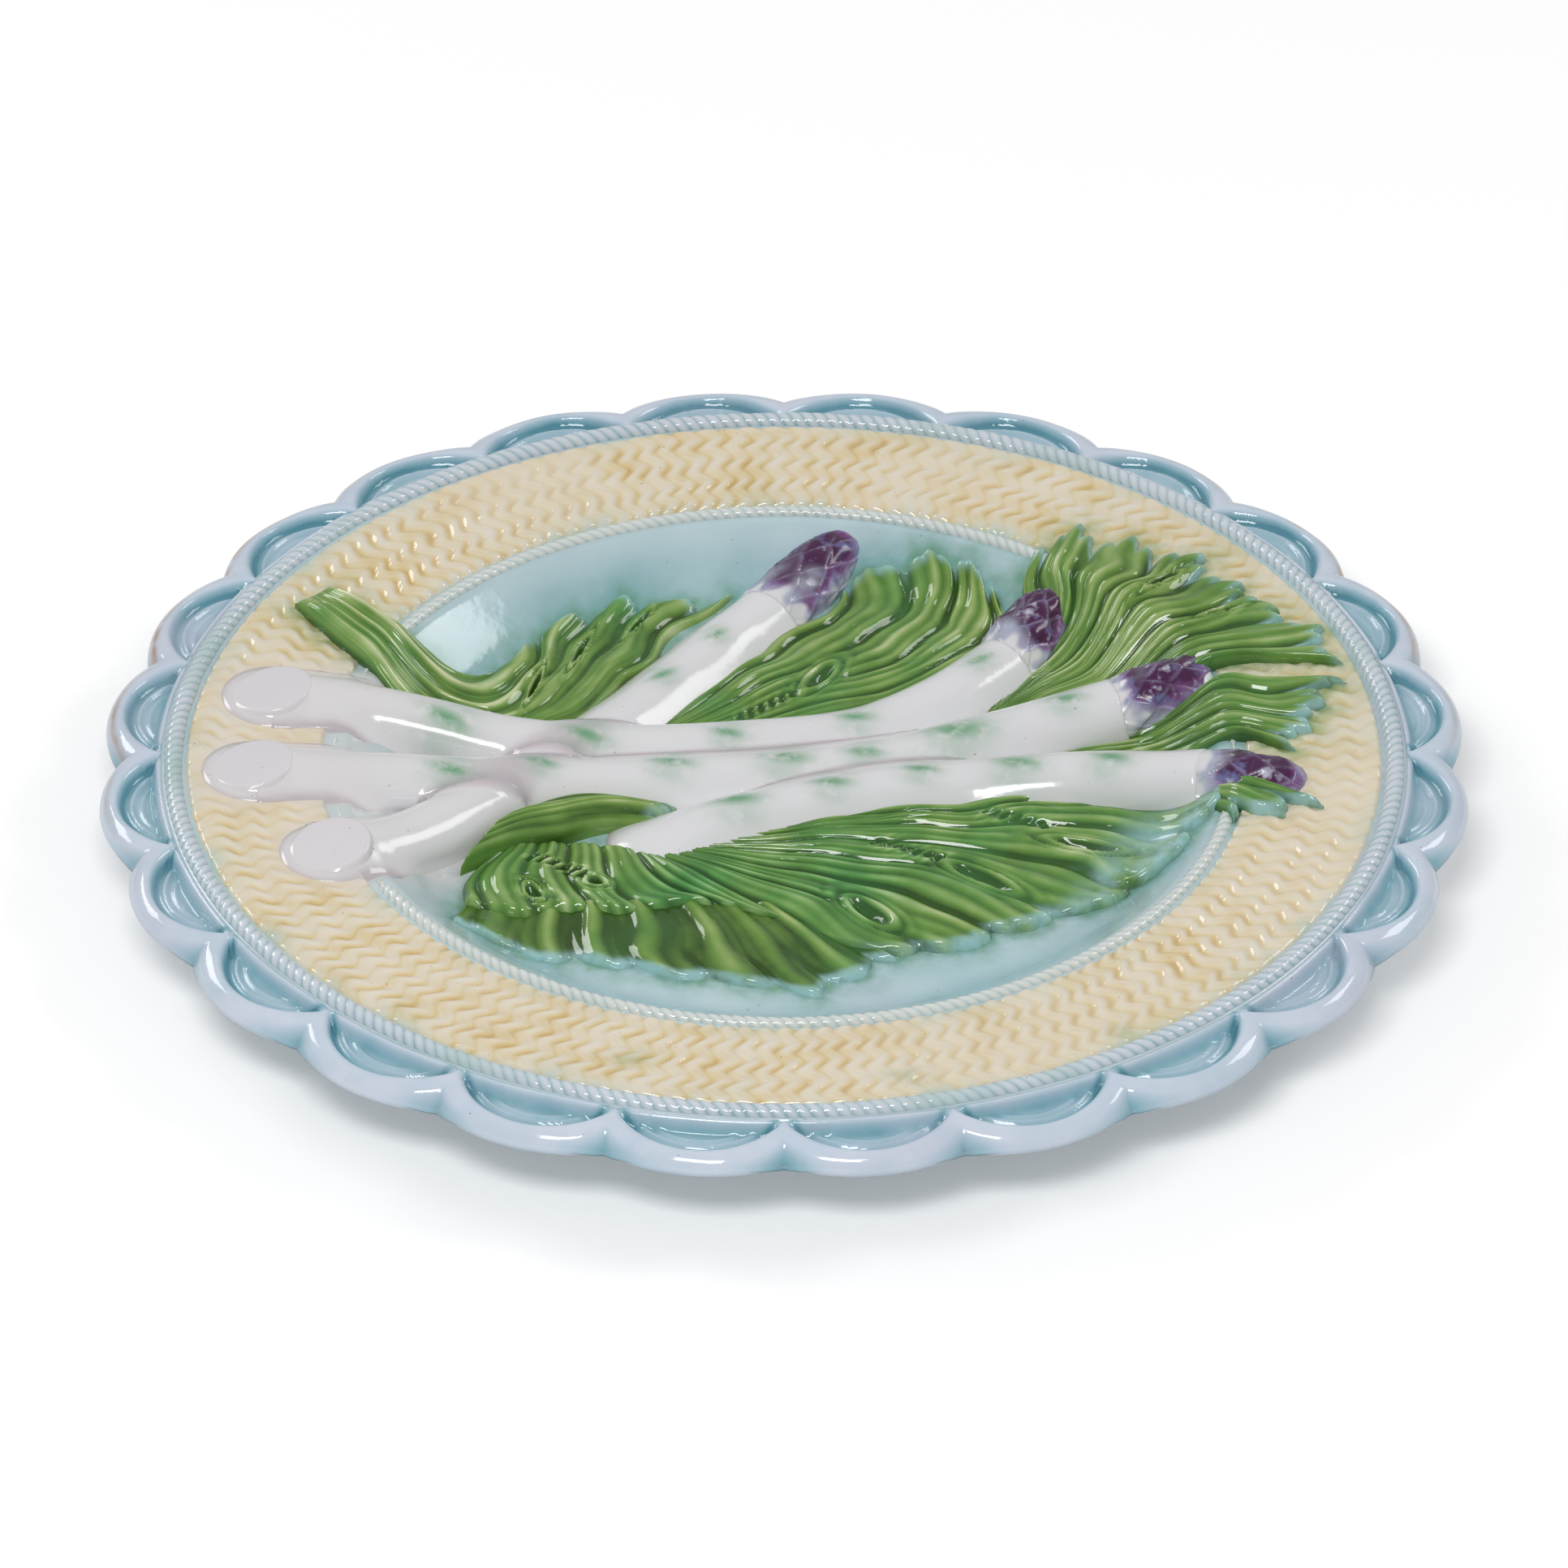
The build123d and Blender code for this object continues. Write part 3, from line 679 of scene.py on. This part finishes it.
def fan_plan(name, columns_each, rows):
    """Plan of a leaf in rows of points from base to edge, with each point's place across the fan, its share
    of the way to the edge, its distance from the outline and its distance from the base."""
    strands = leaf_strands[name]
    _, ribs, notch, blunt, fray, sway = leaf_forms[name]
    count = len(strands)
    place = np.linspace(0, count - 1, (count - 1) * columns_each + 1)
    off = np.abs(place - np.round(place)) * 2
    lobed = smooth_step(place, fold_end - 0.5, fold_end + 0.5) if name == "large_leaf" else 1.0
    reach = 1 - ((1 - notch) * off**blunt + fray * (1 - np.abs(np.cos(pi * ribs * place)))) * lobed
    share = np.linspace(0, 1, rows)[:, None] * reach
    plan = np.zeros((rows, len(place), 2))
    for weight, strand in zip(blend_weights(place, count), strands):
        plan += weight[None, :, None] * smooth_line(strand, share)
    drift = np.stack([ripple(plan[..., 0], plan[..., 1], 9.0, seed) for seed in (71, 72)], -1)
    plan = plan + sway * smooth_step(share, 0.1, 0.7)[..., None] * drift
    along = np.cumsum(np.linalg.norm(np.diff(plan, axis=0, prepend=plan[:1]), axis=2), 0)
    across = np.cumsum(np.linalg.norm(np.diff(plan, axis=1, prepend=plan[:, :1]), axis=2), 1)
    gap = np.minimum(along[-1] - along, np.minimum(across, across[:, -1:] - across))
    start, rise = (0.05, 0.2) if name == "stem_leaf" else (0.6, 1.0)
    return plan, place, share, np.minimum(gap, rise * along + start), along


def leaf_hollows(name, x, y):
    """Eyes and ladders of dents in a leaf, the raised rims of the eyes, and the ribs that run round them."""
    hollow, rim, near, rings = (np.zeros_like(x) for _ in range(4))
    for eye_x, eye_y, eye_length, eye_width, turn in leaf_eyes.get(name, []):
        way = cos(radians(turn)), sin(radians(turn))
        forward, aside = along_way(x, y, (eye_x, eye_y), way)
        spread = np.hypot(forward / (eye_length / 2), aside / (eye_width / 2))
        hollow = np.maximum(hollow, 1 - smooth_step(spread, 0.5, 1.0))
        rim = np.maximum(rim, bell(spread - 1.3, 0.22))
        close = 1 - smooth_step(spread, 1.6, 3.2)
        rings = np.where(close > near, np.abs(np.cos(pi * (spread - 1.35) / 0.85)) ** 0.8, rings)
        near = np.maximum(near, close)
    for x0, y0, x1, y1, count in leaf_ladders.get(name, []):
        run = hypot(x1 - x0, y1 - y0)
        forward, aside = along_way(x, y, (x0, y0), ((x1 - x0) / run, (y1 - y0) / run))
        dents = np.abs(np.cos(pi * (forward - 0.5 * aside) * (count - 1) / run)) ** 2
        inside = (forward > -0.6) & (forward < run + 0.6)
        hollow = np.maximum(hollow, 0.8 * dents * np.exp(-((aside / 1.2) ** 4)) * inside)
    return hollow, rim, near, rings


def leaf_ribs(name, place, plan, columns_each):
    """Relief of a leaf's strands, a broad ridge along each with finer, uneven ribs, and the ribs' crests."""
    x, y = np.moveaxis(plan, -1, 0)
    ribs = leaf_forms[name][1]
    wander = place[None, :] + 0.13 * ripple(x, y, 11.0, 21)
    apart = np.linalg.norm(np.gradient(plan, axis=1), axis=2) * columns_each
    strand = np.abs(np.cos(pi * wander)) ** 0.9
    fine = np.abs(np.cos(pi * ribs * wander)) ** 0.9
    strengths = np.random.default_rng(22).uniform(0.35, 1.2, 100)
    strength = strengths[np.floor(ribs * wander + 0.5).astype(int) + 20]
    ridge = strand_height * strand * np.clip(apart / 7.0, 0.1, 1.1)
    crest = fine**5 * (0.4 + 0.6 * strength) * smooth_step(apart / ribs, 0.6, 1.6)
    return ridge + rib_height * strength * fine * np.clip(apart / ribs / 2.0, 0.15, 1.2), crest


def leaf_surface(name):
    """Leaf as a fan of ribbed strands that lies over the plate, and its outline in plan."""
    height, ribs, notch, *_ = leaf_forms[name]
    columns_each = 24 if ribs > 2 else 20
    longest = max(step_lengths(strand).sum() for strand in leaf_strands[name])
    plan, place, share, gap, along = fan_plan(name, columns_each, int(longest / leaf_step))
    to_end = along[-1] - along
    x, y = np.moveaxis(plan, -1, 0)
    ribbed, crest = leaf_ribs(name, place, plan, columns_each)
    hollow, rim, near, rings = leaf_hollows(name, x, y)
    ribbed = ribbed * (1 - near) + near * (0.4 + 0.7 * rings)
    off = np.abs(place - np.round(place))[None, :]
    seam = bell(0.5 - off, 0.09) * smooth_step(share, 0.45 * notch, notch)
    dome = np.clip(gap / (1.8 if height < 5 else 4.0), 0, 1)
    dome = np.sqrt(1 - (1 - dome) ** 2)
    fade = 0.75 if name.startswith("fan") else 0.35
    thin = 1 - fade * (1 - smooth_step(to_end, 0.0, 18.0))
    relief = (height - 1.3) * thin + ribbed * (0.4 + 0.6 * thin) - 0.5 * seam + 0.25 * ripple(x, y, 14.0, 31)
    shift, reach = 0.0, 3.2
    lush = np.zeros_like(x)
    if name == "large_leaf":
        fold = (1 - smooth_step(place, fold_end - 1.5, fold_end + 0.5))[None, :]
        relief = relief + fold_height * fold * (1 - smooth_step(to_end, 1.0, 7.0))
        reach = reach + 17.0 * smooth_step(place, 8.0, 10.5)
        lush = bell(x + 12.0, 34.0) * bell(y + 29.0, 11.0)
    if name == "large_leaf_fringe":
        shift = 0.2
    if name == "stem_leaf":
        rails = bell(place - 0.9, 0.75) + bell(place - 4.1, 0.75)
        stem = 1 - smooth_step(along, 26.0, 44.0)
        relief = relief + (1.0 * rails - 0.3)[None, :] * stem
        crest = np.maximum(crest, 1.6 * rails[None, :] ** 2 * stem)
        shift = -0.14 * stem
    relief = relief - eye_depth * hollow + 0.22 * rim
    around = np.stack([np.roll(relief, k, 1) for k in range(-7, 8)]).mean(0)
    patchy = np.clip(0.5 + 0.6 * ripple(x, y, 8.0, 35), 0, 1)
    pool = 0.44 + 0.75 * (around - relief) - 0.2 * crest * patchy * (1 - near)
    pool = pool + 0.6 * hollow - 0.04 * rim + 0.2 * (1 - dome) + shift
    pale = 1 - smooth_step(to_end, 0.3, reach)
    if name == "large_leaf":
        pale = pale * smooth_step(place, fold_end, fold_end + 1.5)
    z = leaf_level(x, y) - buried + (buried + np.clip(relief, 0.15, None)) * dome
    outline = np.concatenate([plan[-1], plan[::4, 0], plan[::4, -1]])
    return slab(z, ground(x, y) - buried - 0.1, x=x, y=y, pool=pool, pale=pale, lush=lush), outline


def dab_amount(number, ahead, x, y):
    """Green brushed on a stalk in short dabs that lie along it."""
    path, _ = spear_paths[number]
    green = np.zeros_like(x)
    for dab_x, dab_y, dab_length in dabs[number]:
        way = ahead[np.hypot(path[:, 0] - dab_x, path[:, 1] - dab_y).argmin()]
        forward, aside = along_way(x, y, (dab_x, dab_y), way)
        forward, aside = forward / (dab_length / 1.7), aside / (dab_length / 1.9)
        strokes = 0.75 + 0.25 * np.cos(5 * aside + 2 * forward)
        green = np.maximum(green, np.exp(-(forward**2) - aside**2) * strokes)
    return green


def make_stalk(number):
    """Stalk with a soft skirt that joins it to the plate. Its lower end is rounded or has a flat cut face."""
    path, _ = spear_paths[number]
    ahead, side, up = path_frame(path)
    turn = circle(56)
    run = (np.arange(len(path)) * step_lengths(path).mean())[:, None]
    thick = stalk_radius * (1 + 0.026 * ripple(run, 7.0 * turn[None, :], 12.0, 40 + number))
    if number == short_spear:
        thick = thick * np.sqrt(np.clip(1 - (1 - np.clip(run / stalk_radius, 0, 1)) ** 2, 0.02, 1))
    tall = thick * stalk_squash(number, run) * np.sin(turn)
    offset = (thick * np.cos(turn))[..., None] * side[:, None, :] + tall[..., None] * up[:, None, :]
    loops = path[:, None, :] + offset
    x, y, z = np.moveaxis(loops, -1, 0)
    pooled = np.zeros_like(z)
    for other in spear_points:
        if other != number:
            height = spear_height(other, x, y)
            near = np.clip(glaze_fillet - np.abs(z - height), 0, None) / glaze_fillet
            z = z + near**2 * glaze_fillet / 4
            pooled = np.maximum(pooled, near)
    above = z - seat_level(x, y)
    skirt = (1.6 + 2.0 * np.exp(-run / 22.0)) * np.clip(1.0 - above / 4.5, 0, 1) ** 2.5
    flat = np.hypot(offset[..., 0], offset[..., 1]) + 1e-6
    x = x + skirt * offset[..., 0] / flat
    y = y + skirt * offset[..., 1] / flat
    pooled = np.maximum(pooled, np.clip(1.2 - above, 0, 1))
    floor = ground(x, y) - buried
    z = np.maximum(z, floor)
    green = dab_amount(number, ahead, x, y)
    if number == short_spear:
        return [loft(x, y, z, pool=pooled, green=green, blush=0.0, cut=0.0)]
    level = ahead[0, :2] / hypot(ahead[0, 0], ahead[0, 1])
    middle = path[0] + np.array([0, 0, stalk_radius - cut_drop])
    inward, _ = along_way(x, y, middle, level)
    z = np.maximum(np.minimum(z, middle[2] + inward * tan(cut_tilt) - 0.12), floor)
    tube = loft(x, y, z, pool=pooled, green=green, blush=np.exp(-run / 30.0), cut=0.0)
    return [tube, cut_disc(middle, level)]


def cut_disc(middle, level):
    """Flat cut face at the end of a stalk, with a soft flare down to the plate."""
    # Each round: radius as a share of the face's, share of the way up to it, paint of the face, and how much
    # darker the glaze is, most at the foot of the flare.
    rounds = [
        (1.36, 0.0, 0.0, 1.0),
        (1.3, 0.0, 0.0, 0.6),
        (1.12, 0.2, 0.0, 0.35),
        (1.03, 0.6, 0.0, 0.3),
        (0.995, 0.88, 0.3, 0.1),
        (0.96, 0.98, 0.8, 0.0),
        (0.92, 1.0, 1.0, 0.0),
        (0.3, 0.97, 1.0, 0.0),
    ]
    scale, share_up, paint, pool = np.array(rounds).T[:, :, None]
    turn = circle(64)
    x = middle[0] + cut_radius * scale * np.cos(turn)
    y = middle[1] + cut_radius * scale * np.sin(turn)
    inward, _ = along_way(x, y, middle, level)
    seat = seat_level(x, y)
    z = seat + (middle[2] + inward * tan(cut_tilt) - seat) * share_up
    z[0] = ground(x[0], y[0]) - buried
    return loft(x, y, z, pool=pool, green=0.0, blush=0.9, cut=paint)


def make_tip(number):
    """Bud of overlapping pointed scales on the end of a stalk."""
    path, far = spear_paths[number]
    near = path[-1]
    length = np.linalg.norm(far - near)
    ahead, side, up = (ways[0] for ways in path_frame(np.array([near, far])))
    rows, around, tiers, petals = 110, 120, 5, 7
    u = np.linspace(-0.06, 1, rows)[:, None]
    turn = circle(around)[None, :]
    places = [-0.06, 0.0, 0.3, 0.55, 0.8, 0.92, 0.98, 1.0]
    body = np.interp(u, places, [5.6, 5.9, 6.2, 5.8, 4.8, 3.7, 2.1, 0.3])
    scale = np.zeros((rows, around))
    edge = np.zeros((rows, around))
    for tier in range(-1, tiers):
        across = ((turn * petals / (2 * pi) + 0.5 * (tier % 2)) % 1.0 - 0.5) * 2
        along = u * tiers - tier
        limit = 1.75 - 1.05 * np.abs(across) ** 1.5
        inside = smooth_step(limit - along, 0.0, 0.24) * smooth_step(along, -0.4, 0.4)
        lift = inside * (0.25 + 0.6 * np.clip(along / limit, 0, 1) ** 1.5)
        brink = inside * bell(np.clip(limit - along, 0, None), 0.3)
        edge = np.where(lift > scale, brink, edge)
        scale = np.maximum(scale, lift)
    slim = np.clip((1 - u) / 0.25, 0, 1)
    thick = body + scale * (0.4 + 0.6 * slim) * 0.7 + 0.2 * ripple(7 * turn, 20 * u, 3.0, 80 + number)
    offset = thick[..., None] * (np.cos(turn)[..., None] * side + 0.9 * np.sin(turn)[..., None] * up)
    loops = near + (u * length)[..., None] * ahead + offset
    x, y, z = np.moveaxis(loops, -1, 0)
    z = np.maximum(z, ground(x, y) - buried)
    crown = np.clip(np.sin(turn), 0, 1)
    deep = crown**1.2 * smooth_step(u, 0.06, 0.32) * (1 - 0.7 * smooth_step(u, 0.72, 0.98))
    root = 1 - smooth_step(u + 0.16 * ripple(7 * turn, 20 * u, 5.0, 60 + number), 0.02, 0.36)
    flame = u - 0.1 * np.abs(np.sin(petals * turn / 2)) + 0.07 * ripple(7 * turn, 20 * u, 2.5, 70 + number)
    bleached = 1 - smooth_step(flame, -0.03, 0.09)
    return [loft(x, y, z, edge=edge, deep=deep, root=root, white=bleached)]


def srgb(red, green, blue):
    """Colour as seen on a screen, from 0 to 255, as linear light."""
    result = []
    for channel in (red / 255, green / 255, blue / 255):
        result.append(channel / 12.92 if channel <= 0.04045 else ((channel + 0.055) / 1.055) ** 2.4)
    return (*result, 1.0)


def set_inputs(node, inputs):
    """Inputs of a shader node, each set to a fixed value or joined to another node's output."""
    for key, value in inputs.items():
        if isinstance(value, bpy.types.NodeSocket):
            node.id_data.links.new(value, node.inputs[key])
        else:
            node.inputs[key].default_value = value


class Glaze:
    """Glossy glaze whose colour changes with its depth, darkened by pooled glaze and in places by painted
    shade, and is then built up in layers.

    A mask is the name of a number kept with each point, or cloudy patches: their scale, their detail and the
    two levels between which they go from 0 to 1.
    """

    def __init__(self, name, gloss, *depth):
        self.material = bpy.data.materials.new(name)
        self.material.use_nodes = True
        self.nodes = self.material.node_tree.nodes
        self.shader = self.nodes["Principled BSDF"]
        set_inputs(self.shader, {"Roughness": gloss, "IOR": 1.52})
        self.place = self.nodes.new("ShaderNodeTexCoord").outputs["Object"]
        self.depth = self.total(*depth)
        self.colour = None

    def mask(self, source):
        """A mask from its name or its numbers."""
        if isinstance(source, str):
            node = self.nodes.new("ShaderNodeAttribute")
            node.attribute_name = source
            return node.outputs["Fac"]
        scale, detail, low, high = source
        patches = self.nodes.new("ShaderNodeTexNoise")
        set_inputs(patches, {"Vector": self.place, "Scale": scale, "Detail": detail})
        levels = self.nodes.new("ShaderNodeMapRange")
        set_inputs(levels, {"Value": patches.outputs["Fac"], "From Min": low, "From Max": high})
        return levels.outputs["Result"]

    def math(self, operation, *values):
        """Values worked together."""
        node = self.nodes.new("ShaderNodeMath")
        node.operation = operation
        set_inputs(node, dict(enumerate(values)))
        return node.outputs[0]

    def total(self, first, *others):
        """A mask plus a share of each of some others, given as (share, mask)."""
        result = self.mask(first)
        for share, source in others:
            result = self.math("MULTIPLY_ADD", self.mask(source), share, result)
        return result

    def ramp(self, *stops):
        """Colour that changes with the depth, through stops of (depth, red, green, blue)."""
        node = self.nodes.new("ShaderNodeValToRGB")
        set_inputs(node, {"Fac": self.depth})
        points = node.color_ramp.elements
        while len(points) < len(stops):
            points.new(0.5)
        for point, (position, *colour) in zip(points, stops):
            point.position = position
            point.color = srgb(*colour)
        return node.outputs["Color"]

    def base(self, *stops):
        """The lowest layer."""
        self.colour = self.ramp(*stops)

    def lay(self, colour, first, *others):
        """Another colour, fixed or from a ramp, laid over what is there as far as all of the masks allow."""
        amount = self.mask(first)
        for source in others:
            amount = self.math("MULTIPLY", amount, self.mask(source))
        node = self.nodes.new("ShaderNodeMix")
        node.data_type = "RGBA"
        set_inputs(node, {0: amount, 6: self.colour, 7: colour})
        self.colour = node.outputs[2]

    def finish(self, bump=0.25):
        """The material, with a few specks in its colour and a slight waviness of its surface."""
        self.lay(srgb(150, 125, 90), (1400, 1, 0.74, 0.8), (90, 2, 0.5, 0.65))
        height = self.total((170, 2, 0, 1), (0.25, (600, 2, 0, 1)))
        wave = self.nodes.new("ShaderNodeBump")
        set_inputs(wave, {"Strength": bump, "Distance": 0.0003, "Height": height})
        set_inputs(self.shader, {"Base Color": self.colour, "Normal": wave.outputs["Normal"]})
        return self.material


def blue_glaze():
    glaze = Glaze("blue_glaze", 0.14, "pool", (0.35, (45, 4, 0.3, 0.75)))
    glaze.base((0, 200, 219, 224), (0.35, 178, 205, 212), (0.8, 130, 178, 186), (1, 96, 153, 160))
    glaze.lay(srgb(190, 200, 212), (30, 2, 0.5, 0.8), (12, 1, 0.45, 0.7))
    glaze.lay(srgb(104, 156, 124), "stain", (260, 3, 0.25, 0.7))
    glaze.lay(srgb(196, 210, 218), "back", (20, 3, 0.2, 0.9))
    glaze.lay(srgb(212, 211, 210), "web", (150, 3, 0.1, 0.5))
    glaze.lay(srgb(206, 190, 164), "bare")
    return glaze.finish(0.45)


def edge_glaze():
    glaze = Glaze("edge_glaze", 0.09, "pool", (0.22, (120, 4, 0.35, 0.75)))
    # The darker stops carry the painted shade in the panels and under the lip, as well as teal glaze pooled
    # in the hollows.
    glaze.base((0, 210, 218, 232), (0.22, 190, 208, 222), (0.7, 138, 180, 194), (1, 88, 144, 160))
    glaze.lay(srgb(202, 203, 220), (40, 2, 0.45, 0.75), (16, 1, 0.4, 0.8))
    glaze.lay(srgb(174, 136, 98), "worn", (220, 3, 0.2, 0.6))
    return glaze.finish()


def rope_glaze():
    glaze = Glaze("rope_glaze", 0.09, "pool", (0.3, (80, 3, 0.3, 0.8)))
    # The darker stops carry the painted shade under the cord as well as glaze pooled between its strands.
    glaze.base((0, 210, 218, 225), (0.45, 190, 205, 214), (1, 144, 176, 184))
    glaze.lay(srgb(166, 196, 190), (35, 2, 0.56, 0.8))
    return glaze.finish()


def cream_glaze():
    glaze = Glaze("cream_glaze", 0.12, (110, 4, 0.28, 1.15), (0.62, "pool"))
    glaze.base((0.1, 232, 224, 210), (0.42, 230, 218, 194), (0.68, 224, 203, 156), (0.95, 206, 174, 112))
    glaze.lay(srgb(231, 220, 198), (28, 2, 0.45, 0.75), (14, 1, 0.3, 0.8))
    glaze.lay(srgb(180, 206, 200), "blue", (150, 3, 0.25, 0.75))
    glaze.lay(srgb(136, 164, 106), "stain", (300, 3, 0.2, 0.65))
    glaze.lay(srgb(226, 217, 208), "web", (150, 3, 0.2, 0.7))
    return glaze.finish()


def cord_glaze():
    glaze = Glaze("cord_glaze", 0.1, "pool", (0.3, (90, 3, 0.3, 0.8)))
    # The darker stops carry the painted shade under the cord as well as glaze pooled between its strands.
    glaze.base((0, 220, 224, 220), (0.5, 202, 213, 212), (1, 172, 194, 190))
    return glaze.finish()


def stalk_glaze():
    glaze = Glaze("stalk_glaze", 0.14, "pool", (0.2, (50, 3, 0.35, 0.8)))
    glaze.base((0, 226, 226, 228), (0.45, 218, 216, 219), (0.8, 204, 197, 201), (1, 190, 183, 188))
    glaze.lay(srgb(221, 212, 210), "blush", (70, 3, 0.2, 1.2))
    glaze.lay(srgb(112, 164, 126), "green", (380, 3, 0.15, 0.5))
    glaze.lay(srgb(222, 218, 222), "cut")
    return glaze.finish(0.3)


def tip_glaze():
    glaze = Glaze("tip_glaze", 0.18, "deep", (0.75, (210, 4, 0.25, 0.8)))
    glaze.base((0.25, 188, 190, 206), (0.5, 150, 142, 178), (0.74, 116, 70, 124), (1, 70, 26, 70))
    glaze.lay(srgb(178, 170, 202), "edge", (420, 3, 0.3, 0.7))
    glaze.lay(srgb(108, 112, 160), (330, 3, 0.56, 0.72))
    glaze.lay(srgb(190, 188, 208), (300, 3, 0.6, 0.72))
    glaze.lay(srgb(172, 178, 196), "root", (200, 3, 0.15, 0.6))
    glaze.lay(srgb(220, 219, 222), "white")
    return glaze.finish()


def leaf_glaze():
    glaze = Glaze("leaf_glaze", 0.08, "pool", (0.18, (160, 4, 0.3, 0.75)), (0.24, (45, 2, 0.3, 0.7)))
    glaze.base((0.08, 204, 212, 164), (0.34, 146, 172, 100), (0.58, 104, 142, 62), (0.95, 50, 80, 26))
    glaze.lay(srgb(82, 156, 88), (40, 2, 0.42, 0.8), (90, 3, 0.3, 0.9))
    jade = glaze.ramp((0.2, 140, 196, 132), (0.52, 64, 142, 72), (0.85, 24, 78, 34))
    glaze.lay(jade, "lush", (60, 3, 0.1, 0.7))
    glaze.lay(srgb(158, 200, 200), "pale", (170, 3, 0.28, 0.6))
    return glaze.finish(0.12)


def make_floor():
    """White floor that keeps the plate's shadow."""
    mesh = bpy.data.meshes.new("floor")
    reach = 6.0
    corners = [(-reach, -reach, 0), (reach, -reach, 0), (reach, reach, 0), (-reach, reach, 0)]
    mesh.from_pydata(corners, [], [(0, 1, 2, 3)])
    floor = add_object("floor", mesh)
    paint = bpy.data.materials.new("white_floor")
    paint.use_nodes = True
    mesh.materials.append(paint)
    nodes = paint.node_tree.nodes
    shader = nodes["Principled BSDF"]
    set_inputs(shader, {"Base Color": (0.95, 0.95, 0.95, 1.0), "Roughness": 0.9, "Specular IOR Level": 0.0})
    seen = nodes.new("ShaderNodeLightPath").outputs["Is Camera Ray"]
    glow = nodes.new("ShaderNodeEmission")
    set_inputs(glow, {"Color": (0.18, 0.18, 0.18, 1.0), "Strength": seen})
    both = nodes.new("ShaderNodeAddShader")
    set_inputs(both, {0: shader.outputs["BSDF"], 1: glow.outputs["Emission"]})
    set_inputs(nodes["Material Output"], {"Surface": both.outputs["Shader"]})


def add_facing(name, data, spot, back):
    """A lamp or camera at a spot, with its back to a direction."""
    thing = add_object(name, data)
    thing.location = spot
    thing.rotation_mode = "QUATERNION"
    thing.rotation_quaternion = back.to_track_quat("Z", "Y")
    return thing


def make_lights():
    """Pale world and soft lamps that face the plate: name, place, width, height and power of each."""
    world = bpy.data.worlds.new("studio")
    bpy.context.scene.world = world
    world.use_nodes = True
    set_inputs(world.node_tree.nodes["Background"], {"Color": (1.0, 1.0, 1.0, 1.0), "Strength": 0.37})
    lamps = [
        ("window", (-0.25, -0.75, 1.0), 0.5, 0.3, 7.0),
        ("fill", (0.9, 0.25, 0.8), 0.5, 0.3, 2.6),
        ("back", (-0.7, 0.8, 0.7), 0.6, 0.3, 3.2),
    ]
    for name, spot, wide, tall, power in lamps:
        lamp = bpy.data.lights.new(name, "AREA")
        lamp.shape = "RECTANGLE"
        lamp.size = wide
        lamp.size_y = tall
        lamp.energy = power
        add_facing(name, lamp, Vector(spot), Vector(spot))


def make_camera():
    """Camera at the photograph's viewing angle, aimed at the middle of the plate."""
    azimuth, elevation, distance = radians(-7.5), radians(34.6), 2.0
    aim = Vector((0, 0, 0.011))
    back = Vector((sin(azimuth) * cos(elevation), -cos(azimuth) * cos(elevation), sin(elevation)))
    camera = bpy.data.cameras.new("camera")
    camera.lens = 262.0
    camera.sensor_width = 36.0
    camera.clip_end = 50.0
    bpy.context.scene.camera = add_facing("camera", camera, aim + back * distance, back)


leaf_shells = {}
leaf_edges = {}
for leaf_name in leaf_strands:
    leaf_shells[leaf_name], leaf_edges[leaf_name] = leaf_surface(leaf_name)

add_piece("plate_body", make_body(), blue_glaze())
add_piece("scalloped_edge", make_edge(), edge_glaze())
add_piece("outer_rope", make_rope(outer_rope_radius, outer_rope_size, 306, 15), rope_glaze())
add_piece("inner_rope", make_rope(inner_rope_radius, inner_rope_size, 240, 16), cord_glaze())
add_piece("basketweave_band", make_band(), cream_glaze())
stalk_paint, tip_paint, leaf_paint = stalk_glaze(), tip_glaze(), leaf_glaze()
for spear in spear_points:
    add_piece(f"stalk_{spear}", make_stalk(spear), stalk_paint)
    add_piece(f"tip_{spear}", make_tip(spear), tip_paint)
for leaf_name, leaf_shell in leaf_shells.items():
    add_piece(leaf_name, [leaf_shell], leaf_paint)
make_floor()
make_lights()
make_camera()
bpy.context.scene.view_settings.view_transform = "Standard"
